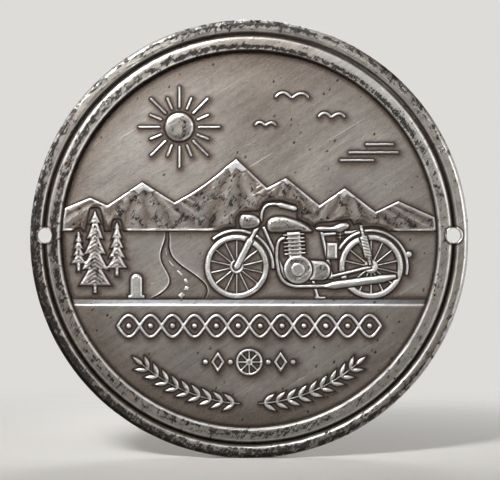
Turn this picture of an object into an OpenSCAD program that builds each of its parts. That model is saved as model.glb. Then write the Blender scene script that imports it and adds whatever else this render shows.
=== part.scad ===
// Round motoring plaque, struck in one piece: a disc, two rims with a groove between them,
// two screw holes in the groove and a low relief inside the rims. Millimetres.
// The flat back lies on the plane y = 0, the face looks towards -Y and +Z is the picture's up.
// The origin is the middle of the back. Every outline is drawn flat, with its second
// coordinate as height in the picture, and every level is measured from the back.

/* [Plaque] */
// Diameter over the outer rim
plaque_d = 88; // [84:0.5:96]
// Thickness of the disc that carries the rims and the relief
disc_t = 1.6; // [1.2:0.1:2.4]
// Height of both rims above the disc
rim_h = 1.6; // [1.3:0.1:2.2]

/* [Rims] */
// Width of the outer rim's sloping edge
edge_w = 0.75; // [0.4:0.05:0.9]
// Drop of the outer rim's sloping edge
edge_drop = 0.5; // [0.2:0.05:0.8]
// Width of the outer rim's flat top
outer_flat_w = 1.6; // [1.2:0.1:2]
// Width of the groove between the rims at its top
groove_w = 1.05; // [0.8:0.05:1.4]
// Depth of the groove below the tops of the rims
groove_depth = 0.9; // [0.5:0.05:1.2]
// Run of each sloping wall of the groove
groove_wall_w = 0.3; // [0.1:0.05:0.35]
// Width of the inner rim's flat top
inner_flat_w = 2.35; // [1.8:0.05:2.8]
// Run of the inner rim's sloping wall above the field
inner_wall_w = 0.6; // [0.2:0.05:0.8]

/* [Screw holes] */
// Diameter of the two screw holes
hole_d = 3; // [2.4:0.1:3.6]
// Height of the holes above the middle of the plaque
hole_z = 0.7; // [-2:0.1:2]

/* [Levels] */
// Height of the picture field above the disc
field_h = 0.4; // [0.3:0.05:0.6]
// Height of the lower panel above the disc
panel_h = 0.8; // [0.65:0.05:1]
// Depth of the road below the picture field
road_depth = 0.25; // [0.1:0.05:0.3]
// Height of the road's dashes above its bed
dash_h = 0.15; // [0.1:0.05:0.2]
// Height of the mountains above the picture field
far_h = 0.2; // [0.1:0.05:0.3]
// Height of the snow caps above the mountains
snow_h = 0.12; // [0.08:0.02:0.2]
// Height of thin raised lines above what they lie on
line_h = 0.32; // [0.2:0.02:0.4]
// Height of the motorcycle and the near shapes above the picture field
near_h = 0.45; // [0.35:0.05:0.6]
// Height of the raised bosses on wheels and crankcase above the motorcycle
boss_h = 0.1; // [0.05:0.05:0.15]

/* [Lower panel] */
// Height of the step's foot in the picture, where the panel begins
step_z = -12.1; // [-14:0.1:-11.5]
// Run of the step's sloping face
step_w = 1.2; // [0.9:0.05:1.5]

/* [Motorcycle] */
// Distance between the axles
wheelbase = 27; // [24:0.5:28]
// Place of the motorcycle's middle, as a share of the field's radius to the right
bike_share = 0.292; // [0.25:0.002:0.32]
// Outer radius of the tyres
tyre_r = 6.5; // [5.5:0.1:6.8]
// Width of the tyre and rim in side view
tyre_w = 1.25; // [0.8:0.05:1.6]
// Number of spokes in each wheel
spokes = 14; // [8:1:20]
// Width of a spoke
spoke_w = 0.3; // [0.2:0.05:0.45]
// Radius of the brake drums
drum_r = 1.5; // [1.2:0.1:2]
// Gap between tyre and mudguard
guard_gap = 0.4; // [0.2:0.05:0.6]
// Width of a mudguard in side view
guard_w = 0.75; // [0.5:0.05:1]
// Width of the frame tubes
tube_w = 0.75; // [0.5:0.05:0.9]
// Radius of the crankcase
crankcase_r = 2.9; // [2.4:0.1:3.1]
// Width of the cylinder's fins
fin_w = 4.4; // [3.6:0.1:4.8]
// Number of fins
fins = 6; // [4:1:7]
// Width of the exhaust pipe
pipe_w = 0.9; // [0.6:0.05:1.1]

/* [Landscape] */
// Height of the horizon above the step
horizon_h = 13.6; // [12:0.2:15]
// Height of the highest peak above the horizon
peak_h = 14.6; // [10:0.2:17]
// Width of the road at the step
road_w = 11; // [8:0.5:12]
// Width of the road at the horizon
road_far_w = 0.8; // [0.4:0.1:1.5]
// Place of the road's far end, as a share of the field's radius to the left
road_far_share = 0.438; // [0.38:0.002:0.5]
// Number of dashes along the middle of the road
dashes = 6; // [4:1:8]
// Height of the tallest pine
pine_tall_h = 17; // [12:0.5:18]
// Height of the milestone
milestone_h = 5.2; // [4:0.2:6.5]
// Width of the milestone
milestone_w = 2.6; // [1.8:0.1:3]
// Gap between the milestone's foot and the road
milestone_gap = 0.9; // [0.5:0.1:1.5]

/* [Sky] */
// Radius of the sun
sun_r = 3.1; // [2:0.1:3.8]
// Direction of the sun from the middle of the plaque, against the picture's right
sun_angle = 122; // [112:1:128]
// Gap between the tips of the long rays and the inner rim
sun_rim_gap = 3.15; // [2:0.05:4]
// Number of rays, long and short in turn
rays = 16; // [8:2:24]
// Length of a long ray
ray_long = 4; // [2:0.1:5]
// Length of a short ray
ray_short = 2.2; // [1:0.1:3]
// Gap between the sun and its rays
ray_gap = 0.9; // [0.4:0.1:1.4]
// Width of the rays, wings and cloud lines
sky_line_w = 0.62; // [0.4:0.02:0.8]
// Span of the largest bird's wings
bird_span = 6.4; // [4:0.2:8]

/* [Ornament] */
// Gap between the step's top edge and the wave band
band_drop = 1.7; // [1:0.1:2.4]
// Height of the wave band
band_h = 5; // [4:0.1:5.6]
// Width of the band's lines
band_line_w = 0.7; // [0.5:0.05:0.9]
// Length of one eye of the band
eye_len = 4.4; // [3.6:0.1:6]
// Radius of the boss in each eye
eye_boss_r = 0.62; // [0.3:0.02:0.8]
// Least gap between the band's ends and the inner rim
band_end_gap = 2.2; // [1.5:0.1:4]
// Gap between the band and the wheel ornament
wheel_drop = 2; // [1.5:0.1:2.6]
// Radius of the wheel ornament
wheel_r = 2.75; // [2.2:0.05:3]
// Gap between the inner rim's foot and the laurel stems
laurel_inset = 4.5; // [4:0.1:6]
// Length of a laurel leaf
leaf_len = 3.1; // [2.4:0.1:3.4]
// Width of a laurel leaf
leaf_w = 1.05; // [0.8:0.05:1.3]
// Pairs of leaves on each branch
leaf_pairs = 9; // [6:1:10]
// Angle that each branch covers, from its tie to its tip
laurel_angle = 40; // [34:1:42]

/* [Hidden] */
$fn = 96;

// Radii of the rims, from the outer edge inwards
plaque_r = plaque_d / 2;
outer_top_r = plaque_r - edge_w;
groove_out_r = outer_top_r - outer_flat_w;
groove_mid_r = groove_out_r - groove_w / 2;
groove_in_r = groove_out_r - groove_w;
inner_top_r = groove_in_r - inner_flat_w;
field_r = inner_top_r - inner_wall_w;

// Levels above the back
rim_top = disc_t + rim_h;
groove_floor = rim_top - groove_depth;
field_top = disc_t + field_h;
panel_top = disc_t + panel_h;

// The holes lie on the middle line of the groove
hole_x = sqrt(groove_mid_r * groove_mid_r - hole_z * hole_z);

// Places in the picture
horizon_z = step_z + horizon_h;
band_z = step_z - step_w - band_drop - band_h / 2;
band_half = sqrt(pow(field_r, 2) - pow(band_z - band_h / 2, 2)) - band_end_gap;
eyes = 2 * floor(band_half / eye_len);
wheel_z = band_z - band_h / 2 - wheel_drop - wheel_r;
laurel_r = field_r - laurel_inset;
front_axle_x = bike_share * field_r - wheelbase / 2;
sun_reach = sun_r + ray_gap + ray_long;
sun_place = (field_r - sun_rim_gap - sun_reach) * [cos(sun_angle), sin(sun_angle)];

// The motorcycle's outlines are drawn in 27ths of its wheelbase
unit = wheelbase / 27;
front_axle = [0, tyre_r];
rear_axle = [wheelbase, tyre_r];

// Steps along a curve and round the end of a line
curve_steps = 8;
end_steps = 8;

// How far a cut runs past the face that it opens
clear = 1;

// Points along a cubic curve from a to d, steered by b and c; the last point is left out
function curve(a, b, c, d, n = curve_steps) = [
    for (i = [0:n - 1]) let (t = i / n, s = 1 - t)
        s * s * s * a + 3 * s * s * t * b + 3 * s * t * t * c + t * t * t * d];

// Direction at each point of a path, as a unit vector
function along(path, i) =
    let (a = path[max(i - 1, 0)], b = path[min(i + 1, len(path) - 1)])
    (b - a) / norm(b - a);
function across(v) = [-v[1], v[0]];

// Outline of a line of width w along a path, with round ends
function line_points(path, w) =
    let (last = len(path) - 1, d0 = along(path, 0), d1 = along(path, last))
    concat(
        [for (i = [0:last]) path[i] + across(along(path, i)) * w / 2],
        [for (k = [1:end_steps - 1]) let (a = 90 - 180 * k / end_steps)
            path[last] + (d1 * cos(a) + across(d1) * sin(a)) * w / 2],
        [for (i = [last:-1:0]) path[i] - across(along(path, i)) * w / 2],
        [for (k = [1:end_steps - 1]) let (a = 90 - 180 * k / end_steps)
            path[0] - (d0 * cos(a) + across(d0) * sin(a)) * w / 2]);
module line(path, w) polygon(line_points(path, w));

// A bar of width w0 at p and w1 at q, with square ends
module taper(p, q, w0, w1) {
    side = across((q - p) / norm(q - p)) / 2;
    polygon([p + side * w0, q + side * w1, q - side * w1, p - side * w0]);
}

// A ring sector from angle a0 to a1, as one polygon
function arc_points(r, a0, a1, n) = [for (i = [0:n]) let (a = a0 + (a1 - a0) * i / n) r * [cos(a), sin(a)]];
module arc_band(r0, r1, a0, a1, n = 36)
    polygon(concat(arc_points(r1, a0, a1, n), arc_points(r0, a1, a0, n)));

// Stands a flat drawing up, with its face towards -Y
module upright() rotate([90, 0, 0]) children();
// A flat outline as a slab of height h on the level given
module slab(level, h) translate([0, 0, level]) linear_extrude(h) children();
module screw_holes() for (side = [-1, 1]) translate([side * hole_x, hole_z]) circle(d = hole_d);
// What lies inside the rims
module inside_rims() intersection() { circle(field_r, $fn = 180); children(); }

// Disc and rims

module disc() color("#8a8178") upright() slab(0, disc_t) difference() {
    circle(plaque_r, $fn = 180);
    screw_holes();
}

module rim(profile) color("#a8a096") upright() difference() {
    rotate_extrude($fn = 180) polygon(profile);
    slab(disc_t - clear, rim_h + 2 * clear) screw_holes();
}

module outer_rim() rim([
    [groove_mid_r, disc_t], [plaque_r, disc_t], [plaque_r, rim_top - edge_drop],
    [outer_top_r, rim_top], [groove_out_r, rim_top],
    [groove_out_r - groove_wall_w, groove_floor], [groove_mid_r, groove_floor]]);

module inner_rim() rim([
    [field_r, disc_t], [groove_mid_r, disc_t], [groove_mid_r, groove_floor],
    [groove_in_r + groove_wall_w, groove_floor], [groove_in_r, rim_top],
    [inner_top_r, rim_top], [field_r, field_top]]);

// Picture field with the road sunk in it, and the lower panel with its step

module above_step() translate([-field_r, step_z]) square([2 * field_r, 2 * field_r]);

// Half width and middle of the road, from t = 0 at the step to t = 1 at the horizon
road_far_x = -road_far_share * field_r;
road_near_x = road_far_x + 0.053 * field_r;
road_swing = 0.085 * field_r;
road_steps = 16;
function road_half(t) = (road_w * pow(1 - t, 1.7) + road_far_w * t) / 2;
function road_mid(t) = road_near_x + (road_far_x - road_near_x) * t + road_swing * sin(360 * t) * (1 - t);
function road_at(t, side) = [road_mid(t) + side * road_half(t), step_z + horizon_h * t];

module road_outline() polygon(concat(
    [for (i = [0:road_steps]) road_at(i / road_steps, -1)],
    [for (i = [road_steps:-1:0]) road_at(i / road_steps, 1)]));

module picture_field() color("#80776e") upright() difference() {
    slab(disc_t, field_h) inside_rims() above_step();
    slab(field_top - road_depth, road_depth + clear) road_outline();
}

module lower_panel() color("#80776e") upright() intersection() {
    translate([0, 0, disc_t]) cylinder(r = field_r, h = panel_h, $fn = 180);
    translate([-field_r, 0, 0]) rotate([90, 0, 90]) linear_extrude(2 * field_r) polygon([
        [-2 * field_r, disc_t], [step_z, disc_t], [step_z, field_top],
        [step_z - step_w, panel_top], [-2 * field_r, panel_top]]);
}

// Motorcycle, seen from its left side, with its origin on the ground below the front axle.
// Each part is cut round the parts drawn in front of it, which come before it here.

BIKE = ["exhaust", "engine", "gearbox", "fuel_tank", "saddle", "headlamp", "handlebar", "front_fork",
    "tool_box", "rear_spring", "front_mudguard", "rear_mudguard", "frame_tubes", "wheels", "prop_stand"];

crank = unit * [12.3, 5.9];
gear_axis = unit * [16.9, 5.7];
gear_r = 2.1 * unit;
head_base = crank + [-0.55 * unit, crankcase_r - 0.2 * unit];
fin_pitch = 0.76 * unit;
fin_t = 0.46 * unit;
barrel_lean = 4;
barrel_w = 2.7 * unit;

module exhaust_2d() {
    line(concat(
        unit * curve([9.5, 12.2], [7.7, 12.2], [7.9, 8.4], [8.3, 6.2]),
        unit * curve([8.3, 6.2], [8.6, 4], [9.8, 2.6], [12.4, 2.5], 9),
        unit * [[12.4, 2.5], [18, 2.62]]
    ), pipe_w);
    taper(unit * [17.4, 2.6], unit * [19.6, 2.8], pipe_w, 2 * pipe_w);
    taper(unit * [19.4, 2.78], unit * [29.5, 4.12], 2 * pipe_w, 2 * pipe_w);
    taper(unit * [29.3, 4.08], unit * [32.2, 4.6], 2 * pipe_w, 1.1 * pipe_w);
}

// Crankcase and finned cylinder with its head
module engine_2d() {
    translate(crank) circle(crankcase_r);
    barrel_2d();
    fins_2d();
}
module barrel_2d() translate(head_base) rotate(barrel_lean)
    translate([-barrel_w / 2, -unit]) square([barrel_w, fins * fin_pitch + 1.4 * unit]);
module fins_2d() translate(head_base) rotate(barrel_lean)
    for (k = [0:fins - 1]) translate([-fin_w / 2, 0.3 * unit + k * fin_pitch]) square([fin_w, fin_t]);

module gearbox_2d() polygon(concat(
    [for (p = arc_points(gear_r, -80, 80, 12)) gear_axis + p],
    [crank + [0, 0.75 * crankcase_r], crank - [0, 0.75 * crankcase_r]]));

module fuel_tank_2d() polygon(unit * concat(
    curve([5.9, 14.7], [5.8, 16.7], [8.2, 17.1], [10.4, 16.5]),
    curve([10.4, 16.5], [12.6, 15.9], [14.2, 15.1], [15.3, 13.9], 6),
    curve([15.3, 13.9], [15.5, 13.3], [14.9, 13.2], [14.2, 13.2], 4),
    curve([7.2, 13.2], [6.4, 13.2], [5.9, 13.8], [5.9, 14.7], 5)));

module saddle_2d() {
    polygon(unit * concat(
        curve([15.8, 14.3], [16.9, 15.3], [18.6, 14.2], [20, 15], 7),
        curve([20, 15], [21.2, 15.7], [22.8, 15.6], [22.8, 14.7], 6),
        curve([22.8, 14.7], [22.7, 13.8], [21.2, 13.5], [19.8, 13.5], 5),
        curve([17.4, 13.5], [16.4, 13.5], [15.4, 13.9], [15.8, 14.3], 5)));
    for (z = [13.5, 12.88, 12.26]) taper(unit * [20, z], unit * [21.6, z + 0.2], 0.4 * unit, 0.4 * unit);
    taper(unit * [20.8, 13.9], unit * [20.8, 11.6], 0.5 * unit, 0.5 * unit);
}

module headlamp_2d() polygon(unit * concat(
    curve([0.9, 17.1], [3.2, 17.5], [4.8, 16.7], [4.9, 15.5], 7),
    curve([4.9, 15.5], [4.8, 14.3], [3.2, 13.7], [0.9, 14.1], 7),
    curve([0.9, 14.1], [0.2, 14.9], [0.2, 16.3], [0.9, 17.1], 6)));

module handlebar_2d() {
    line(unit * concat(
        curve([4.9, 15.8], [4.9, 18.2], [5.8, 19.2], [7.6, 19.1], 8),
        [[7.6, 19.1], [9.2, 18.8]]), 0.7 * unit);
    line(unit * [[8.8, 18.9], [11.6, 18.2]], 1.15 * unit);
}

module front_fork_2d() {
    taper(front_axle, unit * [4.2, 14.6], 0.95 * unit, 0.95 * unit);
    line([front_axle, unit * [2.6, 11.6]], 1.5 * unit);
}

module tool_box_2d() translate(unit * [18, 8]) square(unit * [2.3, 3.4]);

module rear_spring_2d() {
    taper(rear_axle + unit * [-0.1, 0.2], unit * [24.9, 14.9], 0.8 * unit, 0.8 * unit);
    taper(rear_axle + unit * [-0.5, 1.8], rear_axle + unit * [-1.6, 6.2], 1.7 * unit, 1.7 * unit);
}

guard_r0 = tyre_r + guard_gap;
guard_r1 = guard_r0 + guard_w;
module front_mudguard_2d() translate(front_axle) arc_band(guard_r0, guard_r1, -4, 132);
module rear_mudguard_2d() {
    translate(rear_axle) arc_band(guard_r0, guard_r1, -14, 152);
    translate(rear_axle + (guard_r1 + 0.35 * unit) * [cos(18), sin(18)]) circle(0.7 * unit);
}

module spokes_2d() {
    circle(drum_r);
    for (k = [0:spokes - 1]) rotate(360 * (k + 0.5) / spokes)
        translate([0, -spoke_w / 2]) square([tyre_r - tyre_w / 2, spoke_w]);
}
module tyre_2d() difference() {
    circle(tyre_r);
    circle(tyre_r - tyre_w);
}
module wheel_2d() {
    tyre_2d();
    spokes_2d();
}
module wheels_2d() for (axle = [front_axle, rear_axle]) translate(axle) wheel_2d();

module frame_tubes_2d() {
    taper(unit * [5.3, 14.6], unit * [9.9, 4.2], tube_w, tube_w);
    taper(unit * [9.7, 4.4], unit * [19.4, 4.4], tube_w, tube_w);
    taper(unit * [19.1, 4.2], unit * [16.9, 14], tube_w, tube_w);
    taper(unit * [18.9, 4.5], rear_axle, tube_w, tube_w);
    taper(unit * [16.8, 12.9], unit * [24.7, 13.6], tube_w, tube_w);
}

// A strut from the frame down to a foot on the ground
module prop_stand_2d() polygon(unit * [[14.9, 4.2], [15.6, 4.2], [16.6, 0.55], [17.9, 0.55],
    [17.9, 0], [15.6, 0], [15.6, 0.55], [15.8, 0.55]]);

module bike_2d(name) {
    if (name == "exhaust") exhaust_2d();
    if (name == "engine") engine_2d();
    if (name == "gearbox") gearbox_2d();
    if (name == "fuel_tank") fuel_tank_2d();
    if (name == "saddle") saddle_2d();
    if (name == "headlamp") headlamp_2d();
    if (name == "handlebar") handlebar_2d();
    if (name == "front_fork") front_fork_2d();
    if (name == "tool_box") tool_box_2d();
    if (name == "rear_spring") rear_spring_2d();
    if (name == "front_mudguard") front_mudguard_2d();
    if (name == "rear_mudguard") rear_mudguard_2d();
    if (name == "wheels") wheels_2d();
    if (name == "frame_tubes") frame_tubes_2d();
    if (name == "prop_stand") prop_stand_2d();
}

// The motorcycle's whole outline, filled, with a little room round it
bike_room = 0.35;
module bike_backdrop_2d() {
    for (axle = [front_axle, rear_axle]) translate(axle) circle(guard_r1 + bike_room);
    polygon(concat([front_axle], unit * [[-0.2, 14.2], [-0.1, 16.4], [0.8, 17.5], [4.4, 17.7], [5.4, 19.4],
        [7.8, 19.8], [11.8, 18.9], [12.3, 18], [12, 16.3], [15.4, 14.5], [16.6, 15.3], [22.9, 15.9],
        [23.5, 14.9], [24.9, 15.3]], [rear_axle]));
}

// The motorcycle's place, and the children without what the parts before this one cover
module at_bike() translate([front_axle_x, step_z]) children();
module behind(name) {
    place = search([name], BIKE)[0];
    difference() {
        children();
        slab(field_top - clear, near_h + 2 * clear) at_bike() for (k = [0:1:place - 1]) bike_2d(BIKE[k]);
    }
}

module bike_part(name, c) color(c) upright() behind(name) slab(field_top, near_h) at_bike() bike_2d(name);

module exhaust() bike_part("exhaust", "#b0a89e");
module gearbox() bike_part("gearbox", "#9a9188");
module fuel_tank() bike_part("fuel_tank", "#a09890");
module saddle() bike_part("saddle", "#8c837a");
module headlamp() bike_part("headlamp", "#b0a89e");
module handlebar() bike_part("handlebar", "#a8a096");
module front_fork() bike_part("front_fork", "#a09890");
module tool_box() bike_part("tool_box", "#8c837a");
module rear_spring() bike_part("rear_spring", "#a8a096");
module front_mudguard() bike_part("front_mudguard", "#9a9188");
module rear_mudguard() bike_part("rear_mudguard", "#9a9188");
module frame_tubes() bike_part("frame_tubes", "#8c837a");
module prop_stand() bike_part("prop_stand", "#8c837a");

// The fins and the crankcase cover stand higher than the barrel
module engine() color("#a09890") upright() behind("engine") {
    slab(field_top, line_h) at_bike() engine_2d();
    slab(field_top, near_h) at_bike() {
        fins_2d();
        translate(crank) circle(crankcase_r);
    }
    slab(field_top, near_h + boss_h) at_bike() translate(crank) circle(crankcase_r / 2);
}

// The tyre and the drum stand higher than the spokes
module wheel(axle) color("#8c837a") upright() behind("wheels") {
    slab(field_top, line_h) at_bike() translate(axle) spokes_2d();
    slab(field_top, near_h) at_bike() translate(axle) {
        tyre_2d();
        circle(drum_r);
    }
}
module front_wheel() wheel(front_axle);
module rear_wheel() wheel(rear_axle);

// Landscape

// Ridge of the mountains, as shares of the field's radius and of the highest peak
RIDGE = [[-1.06, 0.24], [-0.85, 0.47], [-0.757, 0.36], [-0.571, 0.68], [-0.398, 0.4], [-0.279, 0.58],
    [-0.069, 1], [0.096, 0.6], [0.197, 0.74], [0.377, 0.36], [0.51, 0.6], [0.675, 0.27], [0.797, 0.42],
    [1.06, 0.12]];
function ridge_point(i) = [RIDGE[i][0] * field_r, horizon_z + RIDGE[i][1] * peak_h];

module mountain_outline() inside_rims() polygon(concat(
    [[-1.1 * field_r, horizon_z]],
    [for (i = [0:len(RIDGE) - 1]) ridge_point(i)],
    [[1.1 * field_r, horizon_z]]));

// A cap runs down a share of each slope from its peak, with a notched lower edge
function part_way(a, b, t) = a + (b - a) * t;
module snow_cap(i, t) {
    p = ridge_point(i);
    l = part_way(p, ridge_point(i - 1), t);
    r = part_way(p, ridge_point(i + 1), t);
    drop = [0, p[1] - max(l[1], r[1])];
    polygon([p, l, part_way(l, r, 0.26) + 0.12 * drop, part_way(l, r, 0.4) - 0.42 * drop,
        part_way(l, r, 0.56) + 0.16 * drop, part_way(l, r, 0.76) - 0.2 * drop, r]);
}
SNOW = [[3, 0.45], [6, 0.4], [8, 0.36], [10, 0.42]];
module snow_outline() for (cap = SNOW) snow_cap(cap[0], cap[1]);

// The landscape leaves the motorcycle and the pines free
module behind_near() difference() {
    children();
    slab(field_top - clear, far_h + snow_h + 2 * clear) {
        at_bike() bike_backdrop_2d();
        pine_backdrops();
    }
}
module mountains() color("#887f76") upright() behind_near() slab(field_top, far_h) mountain_outline();
module snow_caps() color("#b8b0a6") upright() behind_near() slab(field_top + far_h, snow_h) snow_outline();

dash_w = 0.09;
module road_dashes() color("#a8a096") upright() slab(field_top - road_depth, dash_h)
    for (k = [0:dashes - 1]) {
        t0 = 1 - pow(1 - (k + 0.3) / (dashes + 0.5), 0.6);
        t1 = 1 - pow(1 - (k + 0.9) / (dashes + 0.5), 0.6);
        taper([road_mid(t0), road_at(t0, 0)[1]], [road_mid(t1), road_at(t1, 0)[1]],
            2 * dash_w * road_half(t0) + 0.1, 2 * dash_w * road_half(t1) + 0.1);
    }

// A pine of height h on its foot, with a saw-toothed outline
pine_tiers = 5;
pine_slender = 0.2;
pine_trunk_w = 0.9;
pine_trunk_h = 1.6;
function pine_side(h) = [
    for (k = [1:pine_tiers]) let (z = h - (h - pine_trunk_h) * k / pine_tiers,
        w = pine_slender * h * (0.25 + 0.75 * k / pine_tiers))
    for (p = [[w, z], [k < pine_tiers ? 0.5 * w : pine_trunk_w / 2, z + (k < pine_tiers ? 0.25 : 0)]]) p];
module pine(h) {
    right = pine_side(h);
    polygon(concat([[0, h]], right, [[pine_trunk_w / 2, 0], [-pine_trunk_w / 2, 0]],
        [for (i = [len(right) - 1:-1:0]) [-right[i][0], right[i][1]]]));
}

// A pine's outline without its saw teeth, with a little room round it
pine_room = 0.3;
module pine_backdrop(h) {
    tip_w = 0.25 * pine_slender * h + pine_room;
    low_w = pine_slender * h + pine_room;
    polygon([[-tip_w, h], [-tip_w / 2, h + pine_room], [tip_w / 2, h + pine_room], [tip_w, h],
        [low_w, pine_trunk_h], [low_w, pine_trunk_h - pine_room],
        [-low_w, pine_trunk_h - pine_room], [-low_w, pine_trunk_h]]);
}

// The tallest pine's place, and each pine's distance from it across and up and its height, as
// shares of the tallest pine's height
pines_at = [-0.823 * field_r, step_z + 0.06 * pine_tall_h];
PINES = [[0, 0, 1], [0.259, 0.206, 0.66], [-0.194, 0.259, 0.5]];
module at_pine(p) translate(pines_at + pine_tall_h * [p[0], p[1]]) children();
module pine_outlines() for (p = PINES) at_pine(p) pine(p[2] * pine_tall_h);
module pine_backdrops() for (p = PINES) at_pine(p) pine_backdrop(p[2] * pine_tall_h);

// The milestone stands at the near end of the road
milestone_foot_w = milestone_w + 1;
milestone_foot_h = 0.9;
milestone_x = road_near_x - road_w / 2 - milestone_gap - milestone_foot_w / 2;
module milestone_2d() translate([milestone_x, step_z]) {
    translate([-milestone_foot_w / 2, 0]) square([milestone_foot_w, milestone_foot_h]);
    polygon(concat([[-milestone_w / 2, 0], [milestone_w / 2, 0]],
        [for (p = arc_points(milestone_w / 2, 0, 180, 12)) [0, milestone_h - milestone_w / 2] + p]));
}
module milestone() color("#a09890") upright() slab(field_top, near_h) milestone_2d();

// The pines stand behind the milestone
module pines() color("#90877e") upright() slab(field_top, near_h) difference() {
    inside_rims() pine_outlines();
    milestone_2d();
}

// Sky

module sun() color("#b0a89e") upright() slab(field_top, near_h) translate(sun_place) circle(sun_r);

module sun_rays() color("#c0b8ae") upright() slab(field_top, line_h) translate(sun_place)
    for (k = [0:rays - 1]) {
        dir = [cos(360 * k / rays), sin(360 * k / rays)];
        reach = k % 2 == 0 ? ray_long : ray_short;
        line([dir * (sun_r + ray_gap), dir * (sun_r + ray_gap + reach)], sky_line_w);
    }

// Places of the birds as shares of the field's radius, and their shares of the largest span
BIRDS = [[0.226, 0.744, 1], [0.438, 0.643, 0.78], [0.085, 0.6, 0.62]];
module bird(span) {
    half = span / 2;
    line(half * curve([-1, 0.05], [-0.75, 0.5], [-0.3, 0.45], [0.06, -0.02]), sky_line_w);
    line(half * curve([1, 0.3], [0.75, 0.62], [0.25, 0.5], [-0.06, -0.02]), sky_line_w);
}
module birds() color("#c0b8ae") upright() slab(field_top, line_h)
    for (b = BIRDS) translate(field_r * [b[0], b[1]]) rotate(-8) bird(b[2] * bird_span);

// Start, height in the picture and length of the cloud lines, as shares of the field's radius
CLOUDS = [[0.536, 0.462, 0.255], [0.627, 0.505, 0.138], [0.489, 0.42, 0.17]];
module cloud_lines() color("#c0b8ae") upright() slab(field_top, line_h)
    for (c = CLOUDS) line(field_r * [[c[0], c[1]], [c[0] + c[2], c[1]]], sky_line_w);

// Ornament on the lower panel

wave_steps = 12;
wave_half = band_h / 2 - band_line_w / 2;
function wave(sign) = [
    for (i = [0:wave_steps * eyes]) let (x = eye_len * (i / wave_steps - eyes / 2))
        [x, band_z + sign * wave_half * sin(180 * i / wave_steps)]];
module wave_band() color("#b0a89e") upright() slab(panel_top, line_h) {
    line(wave(1), band_line_w);
    line(wave(-1), band_line_w);
}
module band_bosses() color("#b8b0a6") upright() slab(panel_top, line_h)
    for (k = [0:eyes - 1]) translate([eye_len * (k + 0.5 - eyes / 2), band_z]) circle(eye_boss_r);

wheel_line_w = 0.6;
wheel_bars = 8;
hub_r = 0.75;
module wheel_ornament() color("#b0a89e") upright() slab(panel_top, line_h) translate([0, wheel_z]) {
    difference() {
        circle(wheel_r);
        circle(wheel_r - wheel_line_w);
    }
    circle(hub_r);
    for (k = [0:wheel_bars - 1]) rotate(360 * k / wheel_bars)
        translate([0, -wheel_line_w / 3]) square([wheel_r - wheel_line_w / 2, wheel_line_w / 1.5]);
}

// Lozenge outlines and beads on both sides of the wheel
lozenge_h = 4.4;
lozenge_w = 2.9;
lozenge_gap = 2.1;
bead_r = 0.55;
module lozenge(w, h) polygon([[-w / 2, 0], [0, -h / 2], [w / 2, 0], [0, h / 2]]);
module lozenges() color("#b0a89e") upright() slab(panel_top, line_h) for (side = [-1, 1]) {
    translate([side * (wheel_r + lozenge_gap + lozenge_w / 2), wheel_z]) {
        difference() {
            lozenge(lozenge_w, lozenge_h);
            lozenge(lozenge_w - 1.45, lozenge_h - 2.2);
        }
        translate([side * (lozenge_w / 2 + lozenge_gap / 2), 0]) circle(bead_r);
    }
    translate([side * (wheel_r + lozenge_gap / 2), wheel_z]) circle(bead_r);
}

// A laurel branch follows the rim from the bottom of the panel; side is 1 to the right
laurel_start = 3.5;
stem_w = 0.42;
leaf_spread = 33;
leaf_steps = 7;
stem_steps = 24;
function leaf_side(t) = leaf_w / 2 * sin(180 * pow(t, 0.8));
function leaf_points() = concat(
    [for (i = [0:leaf_steps - 1]) let (t = i / leaf_steps) [leaf_len * t, leaf_side(t)]],
    [for (i = [leaf_steps:-1:1]) let (t = i / leaf_steps) [leaf_len * t, -leaf_side(t)]]);
module laurel(side) color("#b0a89e") upright() slab(panel_top, line_h) mirror([side > 0 ? 0 : 1, 0]) {
    line(arc_points(laurel_r, laurel_start - 90, laurel_angle - 90, stem_steps), stem_w);
    for (k = [0:leaf_pairs - 1]) {
        a = laurel_start + (laurel_angle - laurel_start) * (k + 0.35) / leaf_pairs - 90;
        translate(laurel_r * [cos(a), sin(a)]) for (s = [-1, 1])
            rotate(a + 90 + s * leaf_spread) translate([0.1, s * 0.12]) polygon(leaf_points());
    }
    translate(laurel_r * [cos(laurel_angle - 90), sin(laurel_angle - 90)])
        rotate(laurel_angle) translate([-0.1, 0]) polygon(leaf_points());
}
module laurel_left() laurel(-1);
module laurel_right() laurel(1);

disc();
outer_rim();
inner_rim();
picture_field();
lower_panel();
front_wheel();
rear_wheel();
front_mudguard();
rear_mudguard();
front_fork();
handlebar();
headlamp();
fuel_tank();
saddle();
engine();
gearbox();
exhaust();
tool_box();
rear_spring();
frame_tubes();
prop_stand();
mountains();
snow_caps();
road_dashes();
pines();
milestone();
sun();
sun_rays();
birds();
cloud_lines();
wave_band();
band_bosses();
wheel_ornament();
lozenges();
laurel_left();
laurel_right();
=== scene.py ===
"""Round motoring plaque of struck, silvered brass, standing on its edge in a plain pale studio.

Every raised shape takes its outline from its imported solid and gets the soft, worn section of a
struck relief. Lengths in this file are millimetres until a mesh is written.
"""

import math
from collections import defaultdict
from functools import partial

import bpy
import numpy as np
from bpy.props import FloatProperty, FloatVectorProperty, IntProperty, PointerProperty
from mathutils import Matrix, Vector, geometry, kdtree


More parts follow.
